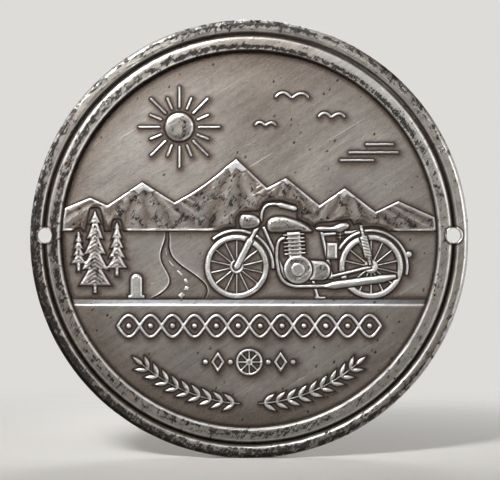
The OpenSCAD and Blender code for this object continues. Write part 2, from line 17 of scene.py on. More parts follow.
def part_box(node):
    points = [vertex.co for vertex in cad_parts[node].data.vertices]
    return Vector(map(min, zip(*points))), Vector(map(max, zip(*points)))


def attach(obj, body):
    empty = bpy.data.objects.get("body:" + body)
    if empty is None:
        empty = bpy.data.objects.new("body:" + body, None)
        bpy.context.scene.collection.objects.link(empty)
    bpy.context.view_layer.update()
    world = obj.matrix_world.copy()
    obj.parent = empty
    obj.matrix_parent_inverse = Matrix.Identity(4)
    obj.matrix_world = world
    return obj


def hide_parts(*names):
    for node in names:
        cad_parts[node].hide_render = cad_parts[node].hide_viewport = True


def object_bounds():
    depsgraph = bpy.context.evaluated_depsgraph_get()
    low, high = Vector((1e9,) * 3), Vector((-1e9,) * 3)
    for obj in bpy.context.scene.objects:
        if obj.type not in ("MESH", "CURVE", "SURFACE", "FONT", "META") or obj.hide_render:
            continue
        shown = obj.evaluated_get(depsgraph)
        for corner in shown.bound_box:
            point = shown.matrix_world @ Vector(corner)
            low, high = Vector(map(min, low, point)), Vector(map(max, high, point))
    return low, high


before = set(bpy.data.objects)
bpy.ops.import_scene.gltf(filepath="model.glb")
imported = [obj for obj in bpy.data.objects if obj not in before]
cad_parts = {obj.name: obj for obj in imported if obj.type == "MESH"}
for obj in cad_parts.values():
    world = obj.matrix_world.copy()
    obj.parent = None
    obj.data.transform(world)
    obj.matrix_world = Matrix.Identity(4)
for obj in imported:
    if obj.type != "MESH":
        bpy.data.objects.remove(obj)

bl_info = {
    "name": "Struck motoring plaque",
    "version": (1, 0, 0),
    "blender": (4, 5, 0),
    "location": "View3D > Sidebar > Plaque",
    "description": "Builds a worn, struck relief plaque over its packed solids",
    "category": "Object",
}

CAD_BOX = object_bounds()
MM = 0.001
# Millimetres between the points along an outline, and the bend in degrees that counts as its corner
OUTLINE_STEP, CORNER = 0.12, 27
# How far the foot of a raised shape lies below the surface that it stands on
SUNK = 0.06
# Points round each edge of the rims, and round each screw hole
EDGE_POINTS, HOLE_POINTS = 1200, 96
# Where round the plaque a wall looks towards the lower right (1) or the upper left (-1), as
# (degrees, spread, share); the first kind gets more painted shade
SHADE_SIDES = ((135, 75, 1), (-45, 75, -1))
# Where round the plaque the silver is eaten away on the rims and the outer edge, written in the
# same way, and the radius that the inner rim's patches keep to; the outer edge's patches are
# painted shade as well, most at the lower left
INNER_PATCHES = ((95, 28, 0.65), (140, 18, 0.4), (178, 28, 0.6), (225, 25, 0.1), (270, 30, 0.45),
                 (45, 22, 0.6))
OUTER_PATCHES = ((95, 25, 0.6), (172, 22, 0.7), (212, 36, 1.15), (278, 32, 0.85), (320, 20, 0.1),
                 (45, 20, 0.25), (5, 30, -0.2))
EDGE_TARNISH_AND_SHADE = ((212, 28, 0.95), (250, 35, 0.8), (300, 30, 0.4), (48, 22, 0.7))
PATCH_R = 39.2

MOTORCYCLE = ["front_wheel", "rear_wheel", "front_mudguard", "rear_mudguard", "front_fork",
              "handlebar", "headlamp", "fuel_tank", "saddle", "engine", "gearbox", "exhaust",
              "tool_box", "rear_spring", "frame_tubes", "prop_stand"]
LANDSCAPE = ["mountains", "snow_caps", "road_dashes", "pines", "milestone"]
SKY = ["sun", "sun_rays", "birds", "cloud_lines"]
ORNAMENT = ["wave_band", "band_bosses", "wheel_ornament", "lozenges", "laurel_left", "laurel_right"]


def tone(code):
    """An sRGB hex colour as the linear colour that shaders use."""
    parts = [int(code[i:i + 2], 16) / 255 for i in (1, 3, 5)]
    return [c / 12.92 if c <= 0.04045 else ((c + 0.055) / 1.055) ** 2.4 for c in parts] + [1.0]


def smooth_step(t):
    """From 0 to 1, softly, as t goes from 0 to 1."""
    t = np.clip(t, 0, 1)
    return t * t * (3 - 2 * t)


def bell(x, width, power=2):
    """1 where x is 0, falling softly to 0 on both sides of it."""
    return np.exp(-(x / width) ** power)


def from_middle(points):
    """Distance of each point to the plaque's middle."""
    return np.hypot(points[:, 0], points[:, 1])


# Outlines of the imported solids

def corner_points(mesh):
    """The solid's vertices as (across, up, level) in millimetres."""
    points = np.empty(len(mesh.vertices) * 3)
    mesh.vertices.foreach_get("co", points)
    points = points.reshape(-1, 3) / MM
    return np.column_stack([points[:, 0], points[:, 2], -points[:, 1]])


def flat_faces(name, towards):
    """(level, corners) of each face that looks straight at the front (-1) or the back (1)."""
    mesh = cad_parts[name].data
    points = np.round(corner_points(mesh), 3)
    for face in mesh.polygons:
        if face.normal.y * towards > 0.99:
            corners = [tuple(points[v]) for v in face.vertices]
            yield round(corners[0][2], 2), [c[:2] for c in corners]


def chained(faces):
    """Closed outlines round a set of faces, with the metal on the right of each."""
    edges = set()
    for corners in faces:
        for a, b in zip(corners, corners[1:] + corners[:1]):
            if (b, a) in edges:
                edges.remove((b, a))
            else:
                edges.add((a, b))
    onward = defaultdict(list)
    for a, b in sorted(edges):
        onward[a].append(b)
    loops = []
    while onward:
        first = here = min(onward)
        loop = []
        while here in onward:
            loop.append(here)
            after = onward[here].pop()
            if not onward[here]:
                del onward[here]
            here = after
            if here == first:
                break
        if len(loop) > 2:
            loops.append(np.array(loop))
    return loops


def rounded_outline(loop):
    """Points close together along a loop, with its coarse arcs made round and its corners kept."""
    before, after = np.roll(loop, 1, 0), np.roll(loop, -1, 0)
    chord_in, chord_out = loop - before, after - loop
    len_in = np.linalg.norm(chord_in, axis=1)
    len_out = np.linalg.norm(chord_out, axis=1)
    way_in, way_out = chord_in / len_in[:, None], chord_out / len_out[:, None]
    bend = np.degrees(np.arccos(np.clip((way_in * way_out).sum(1), -1, 1)))
    tangent = way_in * len_out[:, None] + way_out * len_in[:, None]
    # Where a long side meets a short chord, the long side gives the direction
    tangent[len_in > 2.5 * len_out] = way_in[len_in > 2.5 * len_out]
    tangent[len_out > 2.5 * len_in] = way_out[len_out > 2.5 * len_in]
    tangent /= np.linalg.norm(tangent, axis=1)[:, None]
    sharp = bend > CORNER
    points = []
    for i in range(len(loop)):
        j = (i + 1) % len(loop)
        a, b, length = loop[i], loop[j], len_out[i]
        ta = way_out[i] if sharp[i] else tangent[i]
        tb = way_out[i] if sharp[j] else tangent[j]
        n = max(1, math.ceil(length / OUTLINE_STEP))
        t = (np.arange(n) / n)[:, None]
        points.append((2 * t**3 - 3 * t**2 + 1) * a + (t**3 - 2 * t**2 + t) * length * ta
                      + (3 * t**2 - 2 * t**3) * b + (t**3 - t**2) * length * tb)
    return np.concatenate(points)


def foot_outlines(name):
    """The level that a shape stands on, and the outlines of its whole foot."""
    faces = list(flat_faces(name, 1))
    return faces[0][0], [rounded_outline(loop) for loop in chained([f for _, f in faces])]


def top_outlines(name, level, filled=False):
    """The outlines of a shape's faces at one level; filled leaves out the holes in them."""
    loops = chained([f for at, f in flat_faces(name, -1) if abs(at - level) < 0.02])
    loops = [loop[::-1] for loop in loops]
    if filled:
        loops = [loop for loop in loops if turning(loop) < 0]
    return [rounded_outline(loop) for loop in loops]


def turning(loop):
    """Twice the signed area of a loop: below zero round metal, above zero round a hole."""
    a, b = loop, np.roll(loop, -1, 0)
    return (a[:, 0] * b[:, 1] - a[:, 1] * b[:, 0]).sum()


def levels(name):
    """Every level at which a shape has a flat face towards the front."""
    return sorted({level for level, _ in flat_faces(name, -1)})


def inside(points, loops):
    """Which points lie in the metal, by counting crossings."""
    odd = np.zeros(len(points), bool)
    x, z = points[:, 0], points[:, 1]
    for loop in loops:
        for (x0, z0), (x1, z1) in zip(loop, np.roll(loop, -1, 0)):
            if z0 != z1:
                across = (z0 > z) != (z1 > z)
                odd ^= across & (x < x0 + (z - z0) * (x1 - x0) / (z1 - z0))
    return odd


class Nearness:
    """Distances to a set of outlines, from points along them that are at most a step apart."""
    step = 0.05

    def __init__(self, loops):
        fine = []
        for loop in loops:
            after = np.roll(loop, -1, 0)
            n = max(1, math.ceil(np.linalg.norm(after - loop, axis=1).max() / self.step))
            for k in range(n):
                fine.append(loop + (after - loop) * k / n)
        points = np.concatenate(fine)
        self.tree = kdtree.KDTree(len(points))
        for i, (x, z) in enumerate(points):
            self.tree.insert((x, z, 0), i)
        self.tree.balance()

    def __call__(self, points):
        return np.array([self.tree.find((x, z, 0))[2] for x, z in points])

    def facing(self, points):
        """From -1 to 1: whether the nearest outline lies towards the upper left or the lower right."""
        way = np.array([self.tree.find((x, z, 0))[0][:2] for x, z in points]) - points
        # The divisor is a little over the square root of two, so that the share stays within 1
        return (way[:, 0] - way[:, 1]) / (1.415 * np.maximum(np.linalg.norm(way, axis=1), 1e-6))


def beside(loops, distance, step=None):
    """Points at a distance from the outlines: above zero into the metal, below zero out of it."""
    points = []
    for loop in loops:
        way = np.roll(loop, -1, 0) - np.roll(loop, 1, 0)
        way /= np.maximum(np.linalg.norm(way, axis=1), 1e-9)[:, None]
        skip = 1 if step is None else max(1, round(step / OUTLINE_STEP))
        points.append((loop + distance * np.column_stack([way[:, 1], -way[:, 0]]))[::skip])
    return np.concatenate(points)


def honeycomb(low, high, step):
    """A grid of near-even triangles: rows of points that are half a step apart in turn."""
    rows = []
    # 0.866 is the height of an even triangle with sides of 1
    for k, z in enumerate(np.arange(low[1], high[1], step * 0.866)):
        x = np.arange(low[0] + (k % 2) * step / 2, high[0], step)
        rows.append(np.column_stack([x, np.full(len(x), z)]))
    return np.concatenate(rows)


# Meshes

def skin(name, loops, free, front, foot, keep=None, marks=None, bevel=0.0, back=None):
    """A closed piece between a front surface and its foot.

    loops bound it, free are more points within, front gives the level at each point, and marks
    gives named values from 0 to 1 at each point for the materials. keep picks the triangles by
    their middles, back gives the level of an underside that isn't flat, and bevel is how far
    down its side the front's soft shading runs on.
    """
    points, edges = [], []
    for loop in loops:
        start = len(points)
        points += [Vector(p) for p in loop]
        edges += [(start + i, start + (i + 1) % len(loop)) for i in range(len(loop))]
    points += [Vector(p) for p in free]
    found, _, faces, _, _, _ = geometry.delaunay_2d_cdt(points, edges, [], 0, 1e-5)
    flat = np.array([(p.x, p.y) for p in found])
    faces = np.array([f for f in faces if len(f) == 3])
    middles = flat[faces].mean(1)
    faces = faces[inside(middles, loops) if keep is None else keep(middles)]
    used = np.unique(faces)
    renumber = np.full(len(flat), -1)
    renumber[used] = np.arange(len(used))
    flat, faces = flat[used], renumber[faces]
    a, b, c = flat[faces[:, 0]], flat[faces[:, 1]], flat[faces[:, 2]]
    clockwise = (b[:, 0] - a[:, 0]) * (c[:, 1] - a[:, 1]) < (b[:, 1] - a[:, 1]) * (c[:, 0] - a[:, 0])
    faces[clockwise] = faces[clockwise][:, ::-1]

    level = front(flat)
    count = len(flat)
    back_level = np.full(count, foot) if back is None else back(flat)
    rim = defaultdict(int)
    for tri in faces.tolist():
        for i in range(3):
            rim[(tri[i], tri[(i + 1) % 3])] += 1
    rim = [e for e in rim if (e[1], e[0]) not in rim]
    places = [np.column_stack([flat[:, 0], -level, flat[:, 1]]),
              np.column_stack([flat[:, 0], -back_level, flat[:, 1]])]
    polygons = faces.tolist() + (faces[:, ::-1] + count).tolist()
    sources = [np.arange(count), np.arange(count)]
    if bevel:
        on_rim = sorted({v for e in rim for v in e})
        ring = {v: 2 * count + i for i, v in enumerate(on_rim)}
        below = np.maximum(level[on_rim] - bevel, back_level[on_rim] + 0.01)
        places.append(np.column_stack([flat[on_rim, 0], -below, flat[on_rim, 1]]))
        sources.append(np.array(on_rim))
        polygons += [[b, a, ring[a], ring[b]] for a, b in rim]
        polygons += [[ring[b], ring[a], a + count, b + count] for a, b in rim]
        hard = {frozenset((a + count, b + count)) for a, b in rim}
    else:
        polygons += [[b, a, a + count, b + count] for a, b in rim]
        hard = {frozenset(e) for e in rim} | {frozenset((a + count, b + count)) for a, b in rim}

    mesh = bpy.data.meshes.new(name)
    mesh.from_pydata((np.concatenate(places) * MM).tolist(), [], polygons)
    mesh.validate()
    mesh.shade_smooth()
    sharp = mesh.attributes.new("sharp_edge", "BOOLEAN", "EDGE")
    sharp.data.foreach_set("value", [frozenset(e.vertices) in hard for e in mesh.edges])
    source = np.concatenate(sources)
    for mark, values in (marks(flat) if marks else {}).items():
        layer = mesh.attributes.new(mark, "FLOAT", "POINT")
        values = np.clip(values, 0, 1)[source].astype(np.float32)
        layer.data.foreach_set("value", values)
    piece = bpy.data.objects.new(name, mesh)
    bpy.context.scene.collection.objects.link(piece)
    return piece


def waves(points, seed, length, height):
    """Gentle unevenness of a struck or hand-worked surface, of a given wave length and height."""
    rng = np.random.default_rng(seed)
    total = np.zeros(len(points))
    for _ in range(9):
        angle, phase = rng.uniform(0, 2 * math.pi, 2)
        size = length * rng.uniform(0.7, 1.5)
        total += np.sin((points[:, 0] * math.cos(angle) + points[:, 1] * math.sin(angle))
                        * 2 * math.pi / size + phase)
    return height * total / 3


def struck_shape(name, loops, foot, height, roundness, seed, carving=None, quiet=None):
    """A raised shape with rounded edges, its foot a little below the surface that it stands on.

    Near the outlines in quiet, which belong to taller shapes, its edges are made dark and are
    not rubbed.
    """
    near = Nearness(loops)
    width = np.concatenate(loops)
    # The grid is fine under a carving, and keeps clear of the rings along the rounded edge
    fine = 0.16 if carving is not None else 0.3 if roundness > 0.3 else 0.24
    clear = (0.5 if carving is not None else 1) * roundness + 0.08
    grid = honeycomb(width.min(0), width.max(0), fine)
    grid = grid[near(grid) > clear]
    if len(grid):
        grid = grid[inside(grid, loops)]
    # Half the width of the shape's broadest part
    reach = near(grid).max() if len(grid) else roundness
    rings = []
    for share in (0.12, 0.32, 0.6, 1.0):
        ring = beside(loops, share * roundness)
        rings.append(ring[near(ring) > 0.93 * share * roundness])
    ring = np.concatenate(rings)
    ring = ring[inside(ring, loops)]
    # Points that share a cell of 0.035 mm count once
    _, first = np.unique(np.round(ring / 0.035).astype(int), axis=0, return_index=True)
    free = np.concatenate([ring[np.sort(first)], grid])

    def front(points):
        t = np.clip(near(points) / roundness, 0, 1)
        rise = np.sqrt(1 - (1 - t) ** 2)
        level = foot - SUNK + (height + SUNK) * rise
        if carving is not None:
            level = level + carving(points, near(points)) * smooth_step(2 * t - 0.6)
        return level + waves(points, seed, 5, 0.012) * rise

    def marks(points):
        gap = near(points)
        t = gap / roundness
        # Patina at the foot of every shape, darker along its lower right as painted shade
        side = 0.72 + 0.28 * near.facing(points)
        dirt = side * (1 - smooth_step((t - 0.02) / 0.42))
        if carving is not None:
            carved = np.clip(-5 * carving(points, gap), 0, 0.6)
            dirt = np.maximum(dirt, carved * smooth_step(2 * t - 0.6))
        # Rubbed bright just inside the outline, with a painted highlight where the edge looks to the
        # upper left
        edge = bell(gap - 0.8 * min(roundness, 0.5), 0.2) * (0.8 - 0.2 * near.facing(points))
        if quiet:
            shielded = 1 - smooth_step((quiet(points) - 0.8) / 0.8)
            edge *= 1 - shielded
            dirt = np.maximum(dirt, 0.7 * shielded)
        # Narrow shapes are rubbed bright on top, and broad ones keep more of their tone
        polish = 0.7 if reach < 1.1 else 0.3 if reach < 1.5 else 0
        crown = smooth_step(t) * (roundness > 0.31) * polish
        # The silver is eaten away on the broadest shapes alone
        tarnish = 0.4 * smooth_step((gap - 0.3) / 0.6) * (reach > 1.5)
        return {"dirt": dirt, "worn": np.maximum(edge, crown), "tarnish": tarnish}

    # Its closed underside lies still deeper, inside the metal
    return skin(name, loops, free, front, foot - SUNK - 0.08, marks=marks)


def finished(piece, node, material):
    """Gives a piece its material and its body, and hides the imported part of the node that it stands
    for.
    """
    piece.data.materials.append(material)
    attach(piece, "root")
    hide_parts(node)


def joined(pieces):
    """Several meshes as one piece."""
    if len(pieces) > 1:
        with bpy.context.temp_override(active_object=pieces[0], object=pieces[0],
                                       selected_objects=pieces, selected_editable_objects=pieces):
            bpy.ops.object.join()
    return pieces[0]


def circle(radius, count, middle=(0, 0)):
    """A closed loop with the metal on the right, so it runs clockwise."""
    turn = -np.arange(count) * 2 * math.pi / count
    return np.column_stack([middle[0] + radius * np.cos(turn), middle[1] + radius * np.sin(turn)])


# Sizes read from the solids

def read_profile(name):
    """The rim's section as radii and the level of its front at each."""
    points = corner_points(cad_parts[name].data)
    radius = np.round(from_middle(points), 2)
    base = points[:, 2].min()
    section = {}
    for r, level in zip(radius, points[:, 2]):
        if level > base + 0.05:
            section[r] = max(level, section.get(r, 0))
    radii = np.array(sorted(section))
    return radii, np.array([section[r] for r in radii])


OUTER, INNER = read_profile("outer_rim"), read_profile("inner_rim")
EDGE_R, SEAM_R, FIELD_R = OUTER[0][-1], INNER[0][-1], INNER[0][0]
RIM_TOP = OUTER[1].max()
GROOVE_FLOOR = OUTER[1][0]
# Where each rim's flat top begins and ends: beside the field, at the groove and at the outer edge
INNER_LIP, INNER_SHOULDER = INNER[0][INNER[1] > RIM_TOP - 0.01][[0, -1]]
OUTER_SHOULDER, EDGE_START = OUTER[0][OUTER[1] > RIM_TOP - 0.01][[0, -1]]
DISC_TOP = levels("disc")[0]
ROAD_BED, FIELD_TOP = levels("picture_field")[0], levels("picture_field")[-1]
PANEL_TOP = levels("lower_panel")[-1]
STEP_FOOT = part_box("lower_panel")[1].z / MM
STEP_HEAD = max(z for level, face in flat_faces("lower_panel", -1) for _, z in face)
# The disc's outlines are its edge and its two holes, which are the small ones
BORES = [loop for loop in chained([f for _, f in flat_faces("disc", 1)]) if np.ptp(loop[:, 0]) < 10]
HOLES = [loop.mean(0) for loop in BORES]
HOLE_R = max(np.ptp(loop[:, 0]) for loop in BORES) / 2


def from_hole(points):
    """Distance of each point to the middle of the nearer screw hole."""
    return np.min([np.hypot(points[:, 0] - h[0], points[:, 1] - h[1]) for h in HOLES], axis=0)


def corners_of(profile):
    """The radii at which a rim's section turns."""
    radii, level = profile
    slope = np.diff(level) / np.diff(radii)
    return [radii[i] for i in range(1, len(radii) - 1) if abs(slope[i] - slope[i - 1]) > 0.3]


# Settings

def paint(name, code, description):
    """A colour setting, with its default from an sRGB hex colour."""
    return FloatVectorProperty(name=name, subtype="COLOR", size=4, min=0, max=1, default=tone(code),
                               description=description)


class PlaqueEdgeSettings(bpy.types.PropertyGroup):
    nick_depth: FloatProperty(name="Nick depth", default=0.16, min=0, max=0.3,
                              description="Depth of the nicks in the outer edge, in millimetres")
    nicks: IntProperty(name="Nicks", default=42, min=0, max=120,
                       description="Number of nicks round the outer edge")
    burr: FloatProperty(name="Burr", default=0.07, min=0, max=0.15,
                        description="Height of the lip that drilling left, in millimetres")


class PlaqueReliefSettings(bpy.types.PropertyGroup):
    unevenness: FloatProperty(name="Unevenness", default=0.014, min=0, max=0.05,
                              description="Height of the gentle waves in the field, in millimetres")
    # This width also sets how far the painted shadow spreads to the lower right of raised shapes
    halo: FloatProperty(name="Patina width", default=0.3, min=0.1, max=1,
                        description="Width of the dark patina round raised shapes, in millimetres")
    lip: FloatProperty(name="Road lip", default=0.05, min=0, max=0.1,
                       description="Height of the lip along the sunk road, in millimetres")


class PlaqueFinishSettings(bpy.types.PropertyGroup):
    # Also the colour of the painted highlights along edges
    silver: paint("Rubbed silver", "#dedfdf", "Metal rubbed bright on edges")
    satin: paint("Satin field", "#75716c", "Toned metal of the field")
    # A darker, cooler copy of the field's metal for the step's slope: painted shade with a cool painted
    # reflection
    step: paint("Shaded step", "#515354", "Smooth metal of the step's slope")
    rim: paint("Rim flats", "#817d76", "Toned metal of the rims' flat tops")
    # These two colours paint the patina and also the painted shade that the same mark carries
    patina: paint("Patina", "#1c1a19", "Black patina in the hollows")
    film: paint("Thin patina", "#c7b8ae", "Brown tint where the patina is thin")
    charcoal: paint("Bared metal", "#202123", "Where the silver is eaten away")


class PlaqueStageSettings(bpy.types.PropertyGroup):
    lens: FloatProperty(name="Lens", default=150, min=50, max=300, unit="CAMERA",
                        description="Focal length of the camera")
    frame_width: FloatProperty(name="Frame width", default=0.10025, min=0.05, max=0.5, unit="LENGTH",
                               description="Width that the picture takes in at the plaque")
    key: FloatProperty(name="Key light", default=1.0, min=0, max=5,
                       description="Strength of the large soft light from the upper left")
    paper: paint("Paper", "#e6e4e1", "Colour of the floor and the background")


# Materials

# Settings that many nodes share
TIMES = {"operation": "MULTIPLY"}
SCALED = {"operation": "MULTIPLY_ADD"}
MOST = {"operation": "MAXIMUM"}
OVER = {"data_type": "RGBA"}


def add_node(tree, kind, *values, inputs=None, **settings):
    """Adds a node, sets its properties, and fills its inputs with values, sockets or other nodes."""
    node = tree.nodes.new("ShaderNode" + kind)
    for key, value in settings.items():
        setattr(node, key, value)
    filled = list(zip([socket for socket in node.inputs if socket.enabled], values))
    filled += [(node.inputs[key], value) for key, value in (inputs or {}).items()]
    for socket, value in filled:
        if isinstance(value, bpy.types.Node):
            value = next(output for output in value.outputs if output.enabled)
        if isinstance(value, bpy.types.NodeSocket):
            tree.links.new(value, socket)
        else:
            socket.default_value = value
    return node


def cleared(holder):
    """The function that adds a node to the emptied tree of a material or a world."""
    holder.use_nodes = True
    holder.node_tree.nodes.clear()
    return partial(add_node, holder.node_tree)


def start_material(name):
    """An empty material, its node function, and the place on the object in millimetres."""
    material = bpy.data.materials.new(name)
    add = cleared(material)
    where = add("TexCoord").outputs["Object"]
    return material, add, add("VectorMath", where, 1 / MM, operation="SCALE")


def shade(colour, times):
    """A colour made darker or lighter."""
    return [times * c for c in colour[:3]] + [1]


def strokes(add, where, angle, length, width, low, high, seed=0):
    """Parallel scratches at an angle to the picture's right, of a length and width in millimetres."""
    turned = add("VectorRotate", where, (0, 0, 0), math.radians(angle), rotation_type="Y_AXIS")
    drawn = add("VectorMath", turned, (1 / length, 1 / length, 1 / width), (seed,) * 3, **SCALED)
    noise = add("TexNoise", drawn, 1, 3, 0.55)
    return add("MapRange", noise, low, high)


def cloud(add, where, size, low, high, detail=3, seed=0):
    """Soft patches of a size in millimetres, from 0 below low to 1 above high."""
    moved = add("VectorMath", where, (1 / size,) * 3, (seed,) * 3, **SCALED)
    noise = add("TexNoise", moved, 1, detail, 0.6)
    return add("MapRange", noise, low, high, interpolation_type="SMOOTHSTEP")


def pits(add, where, spacing, size, share, seed=0):
    """Scattered ragged pits of a size in millimetres, crowded in some places and absent in others."""
    # Bent by a noise of about 0.4 mm, so that no pit is round, and longer along its slant
    ragged = add("TexNoise", where, 2.6, 2)
    bent = add("VectorMath", ragged.outputs["Color"], (0.7, 0.7, 0.7), where, **SCALED)
    turned = add("VectorRotate", bent, (0, 0, 0), math.radians(55), rotation_type="Y_AXIS")
    long = add("VectorMath", turned, (0.5, 0.5, 1), (seed,) * 3, **SCALED)
    cells = add("TexVoronoi", long, 1 / spacing)
    small = add("MapRange", cells.outputs["Distance"], 0.5 * size / spacing, 0.25 * size / spacing)
    chosen = add("Math", cells.outputs["Color"], share, operation="LESS_THAN")
    crowd = cloud(add, where, 8, 0.42, 0.52, 2, seed + 3)
    return add("Math", add("Math", small, chosen, **TIMES), crowd, **TIMES)


def eaten(add, place, where, tarnish, seed):
    """Ragged patches a millimetre or two across, cut by slanting streaks, where tarnish is high."""
    moved = add("VectorMath", place, (1, 1, 1), (seed,) * 3, operation="ADD")
    chunks = add("TexNoise", moved, 0.7, 5, 0.66)
    streaks = strokes(add, where, 56, 1.3, 0.2, 0.25, 0.75, seed)
    noise = add("Math", streaks, 0.26, chunks, **SCALED)
    limit = add("Math", tarnish, -0.28, 0.81, **SCALED)
    return add("Math", noise, limit, operation="SUBTRACT")


def end_as_metal(add, colour, roughness, height, depth):
    """Ends a material as bare metal, with its height as a bump of a depth in millimetres."""
    normal = add("Bump", inputs={"Strength": 1.0, "Distance": depth * MM, "Height": height})
    shader = add("BsdfPrincipled", inputs={"Base Color": colour, "Metallic": 1.0,
                                           "Roughness": roughness, "Normal": normal})
    add("OutputMaterial", shader)


def struck_metal(name, body, finish, rough, scratched, rim=False, seed=0):
    """Silvered brass as struck and then handled for decades.

    It shows a soft satin ground with a fine slanting grain and a few long scratches from
    polishing, patina wherever a cloth doesn't reach with painted shade added to it, brown where
    they are thin and black where they are thick, small ragged black pits and gouges, charcoal
    patches where the silver is eaten away, and bright metal along every edge that sticks out,
    with painted highlights where the marks ask for them.
    """
    material, add, where = start_material(name)
    # The first mark carries patina and painted shade, and worn carries wear and painted highlights
    dirt, worn, tarnish = (add("Attribute", attribute_name=mark).outputs["Fac"]
                           for mark in ("dirt", "worn", "tarnish"))
    # The real grain is finer than a pixel, so it is drawn 0.14 mm wide
    grain = strokes(add, where, 38, 1.1, 0.14, 0.27, 0.73, seed)
    # Metal that was handled more has more long scratches, bright ones and dark ones
    more, more_cut = 0.045 * scratched, 0.05 * scratched
    bright = strokes(add, where, 31, 18, 0.13, 0.68 - more, 0.725 - more, seed + 4)
    cross = strokes(add, where, 49, 9, 0.15, 0.735, 0.77, seed + 9)
    cut = strokes(add, where, 30, 9, 0.22, 0.68 - more_cut, 0.74 - more_cut, seed + 12)
    brushed = strokes(add, where, 33, 12, 1.1, 0.3, 0.7, seed + 1)
    mottle = cloud(add, where, 8, 0.25, 0.75, 4, seed + 2)
    speck = cloud(add, where, 0.4, 0.3, 0.7, 2, seed + 5)
    gouge = strokes(add, where, 112, 2.4, 0.28, 0.735, 0.765, seed + 20)
    pit = add("Math", pits(add, where, 1.3, 0.46, 0.42, seed), gouge, **MOST)
    scratch = add("Math", bright, cross, **MOST)

    place = where
    if rim:
        # Along the rim and across it, with no seam: the direction from the middle times the
        # rim's radius, and the distance from the middle
        flat = add("VectorMath", where, (1, 0, 1), **TIMES)
        radius = add("VectorMath", flat, operation="LENGTH")
        along = add("VectorMath", add("VectorMath", flat, operation="NORMALIZE"), float(EDGE_R),
                    operation="SCALE")
        across = add("CombineXYZ", 0, add("Math", radius, 1.7, **TIMES), 0)
        place = add("VectorMath", along, across, operation="ADD")
    over = eaten(add, place, where, tarnish, seed)
    patch = add("MapRange", over, 0, 0.03)
    haze = add("MapRange", over, -0.14, 0.05, interpolation_type="SMOOTHSTEP")
    patch = add("Math", patch, add("MapRange", tarnish, 0.03, 0.12), **TIMES)
    haze = add("Math", haze, add("Math", tarnish, 0.8, **TIMES), **TIMES)

    # The toned ground in layers, each with how much of it shows
    ground = add("Mix", mottle, shade(body, 0.92), shade(body, 1.27), **OVER)
    for share, colour in ((add("Math", grain, 0.75, **TIMES), shade(body, 0.4)),
                          (add("Math", brushed, 0.3, **TIMES), shade(body, 1.7)),
                          (haze, shade(body, 0.3)),
                          (add("Math", cut, 0.35, **TIMES), shade(body, 0.4)),
                          (add("Math", scratch, 0.42, **TIMES), finish.silver)):
        ground = add("Mix", share, ground, colour, **OVER)
    # Bright where it is rubbed or has a painted highlight, but not on specks and patches
    rubbed = worn
    for mark, times, plus in ((speck, -0.3, 1), (brushed, 0.3, 0.7), (patch, -0.7, 1)):
        rubbed = add("Math", rubbed, add("Math", mark, times, plus, **SCALED), **TIMES)
    ground = add("Mix", rubbed, ground, finish.silver, **OVER)
    streaked = add("Math", add("Math", grain, speck, **TIMES), 0.35, **TIMES)
    bared = add("Mix", streaked, finish.charcoal, shade(body, 0.8), **OVER)
    shown = add("Math", patch, add("Math", rubbed, -0.6, 0.95, **SCALED), **TIMES)
    ground = add("Mix", shown, ground, bared, **OVER)
    dark = add("Math", dirt, add("Math", speck, 0.25, 0.8, **SCALED), use_clamp=True, **TIMES)
    dark = add("Math", dark, add("Math", pit, 0.9, **TIMES), **MOST)
    film = add("MapRange", dark, 0, 0.4)
    colour = add("Mix", film, ground, finish.film, blend_type="MULTIPLY", **OVER)
    colour = add("Mix", add("MapRange", dark, 0.1, 0.95), colour, finish.patina, **OVER)

    dulled = add("Math", dark, shown, **MOST)
    roughness = add("MapRange", dulled, 0, 1, rough, 0.6)
    roughness = add("Math", mottle, 0.05, roughness, **SCALED)
    roughness = add("Math", rubbed, -0.12, roughness, **SCALED)
    height = speck
    for mark, depth in ((grain, -0.8), (add("Math", pit, shown, **MOST), -2.2),
                        (add("Math", scratch, cut, **MOST), -1.2)):
        height = add("Math", mark, depth, height, **SCALED)
    end_as_metal(add, colour, roughness, height, 0.012)
    return material


def dull_back():
    """The back and the edge: the same metal, left as cut and darkened evenly by age.

    It shows a dull grey-brown with faint turning marks round the middle and no polish.
    """
    material, add, where = start_material("Aged brass, plain back")
    finish = bpy.context.scene.plaque_finish
    flat = add("VectorMath", where, (1, 0, 1), **TIMES)
    radius = add("VectorMath", flat, operation="LENGTH")
    # The turning marks are about half a millimetre apart
    rings = add("TexNoise", noise_dimensions="1D", inputs={"W": radius, "Scale": 2.2, "Detail": 4})
    mottle = cloud(add, where, 9, 0.25, 0.75, 5, 3)
    speck = cloud(add, where, 0.8, 0.3, 0.7, 3, 1)
    stain = cloud(add, where, 6, 0.45, 0.75, 5, 12)
    colour = add("Mix", mottle, tone("#77716a"), tone("#8f8981"), **OVER)
    colour = add("Mix", add("Math", rings, 0.5, **TIMES), colour, tone("#8d867c"),
                 blend_type="MULTIPLY", **OVER)
    colour = add("Mix", add("Math", stain, 0.3, **TIMES), colour, finish.patina, **OVER)
    roughness = add("MapRange", speck, 0, 1, 0.42, 0.58)
    height = add("Math", rings, 1.6, speck, **SCALED)
    end_as_metal(add, colour, roughness, height, 0.008)
    return material


# The plaque's pieces

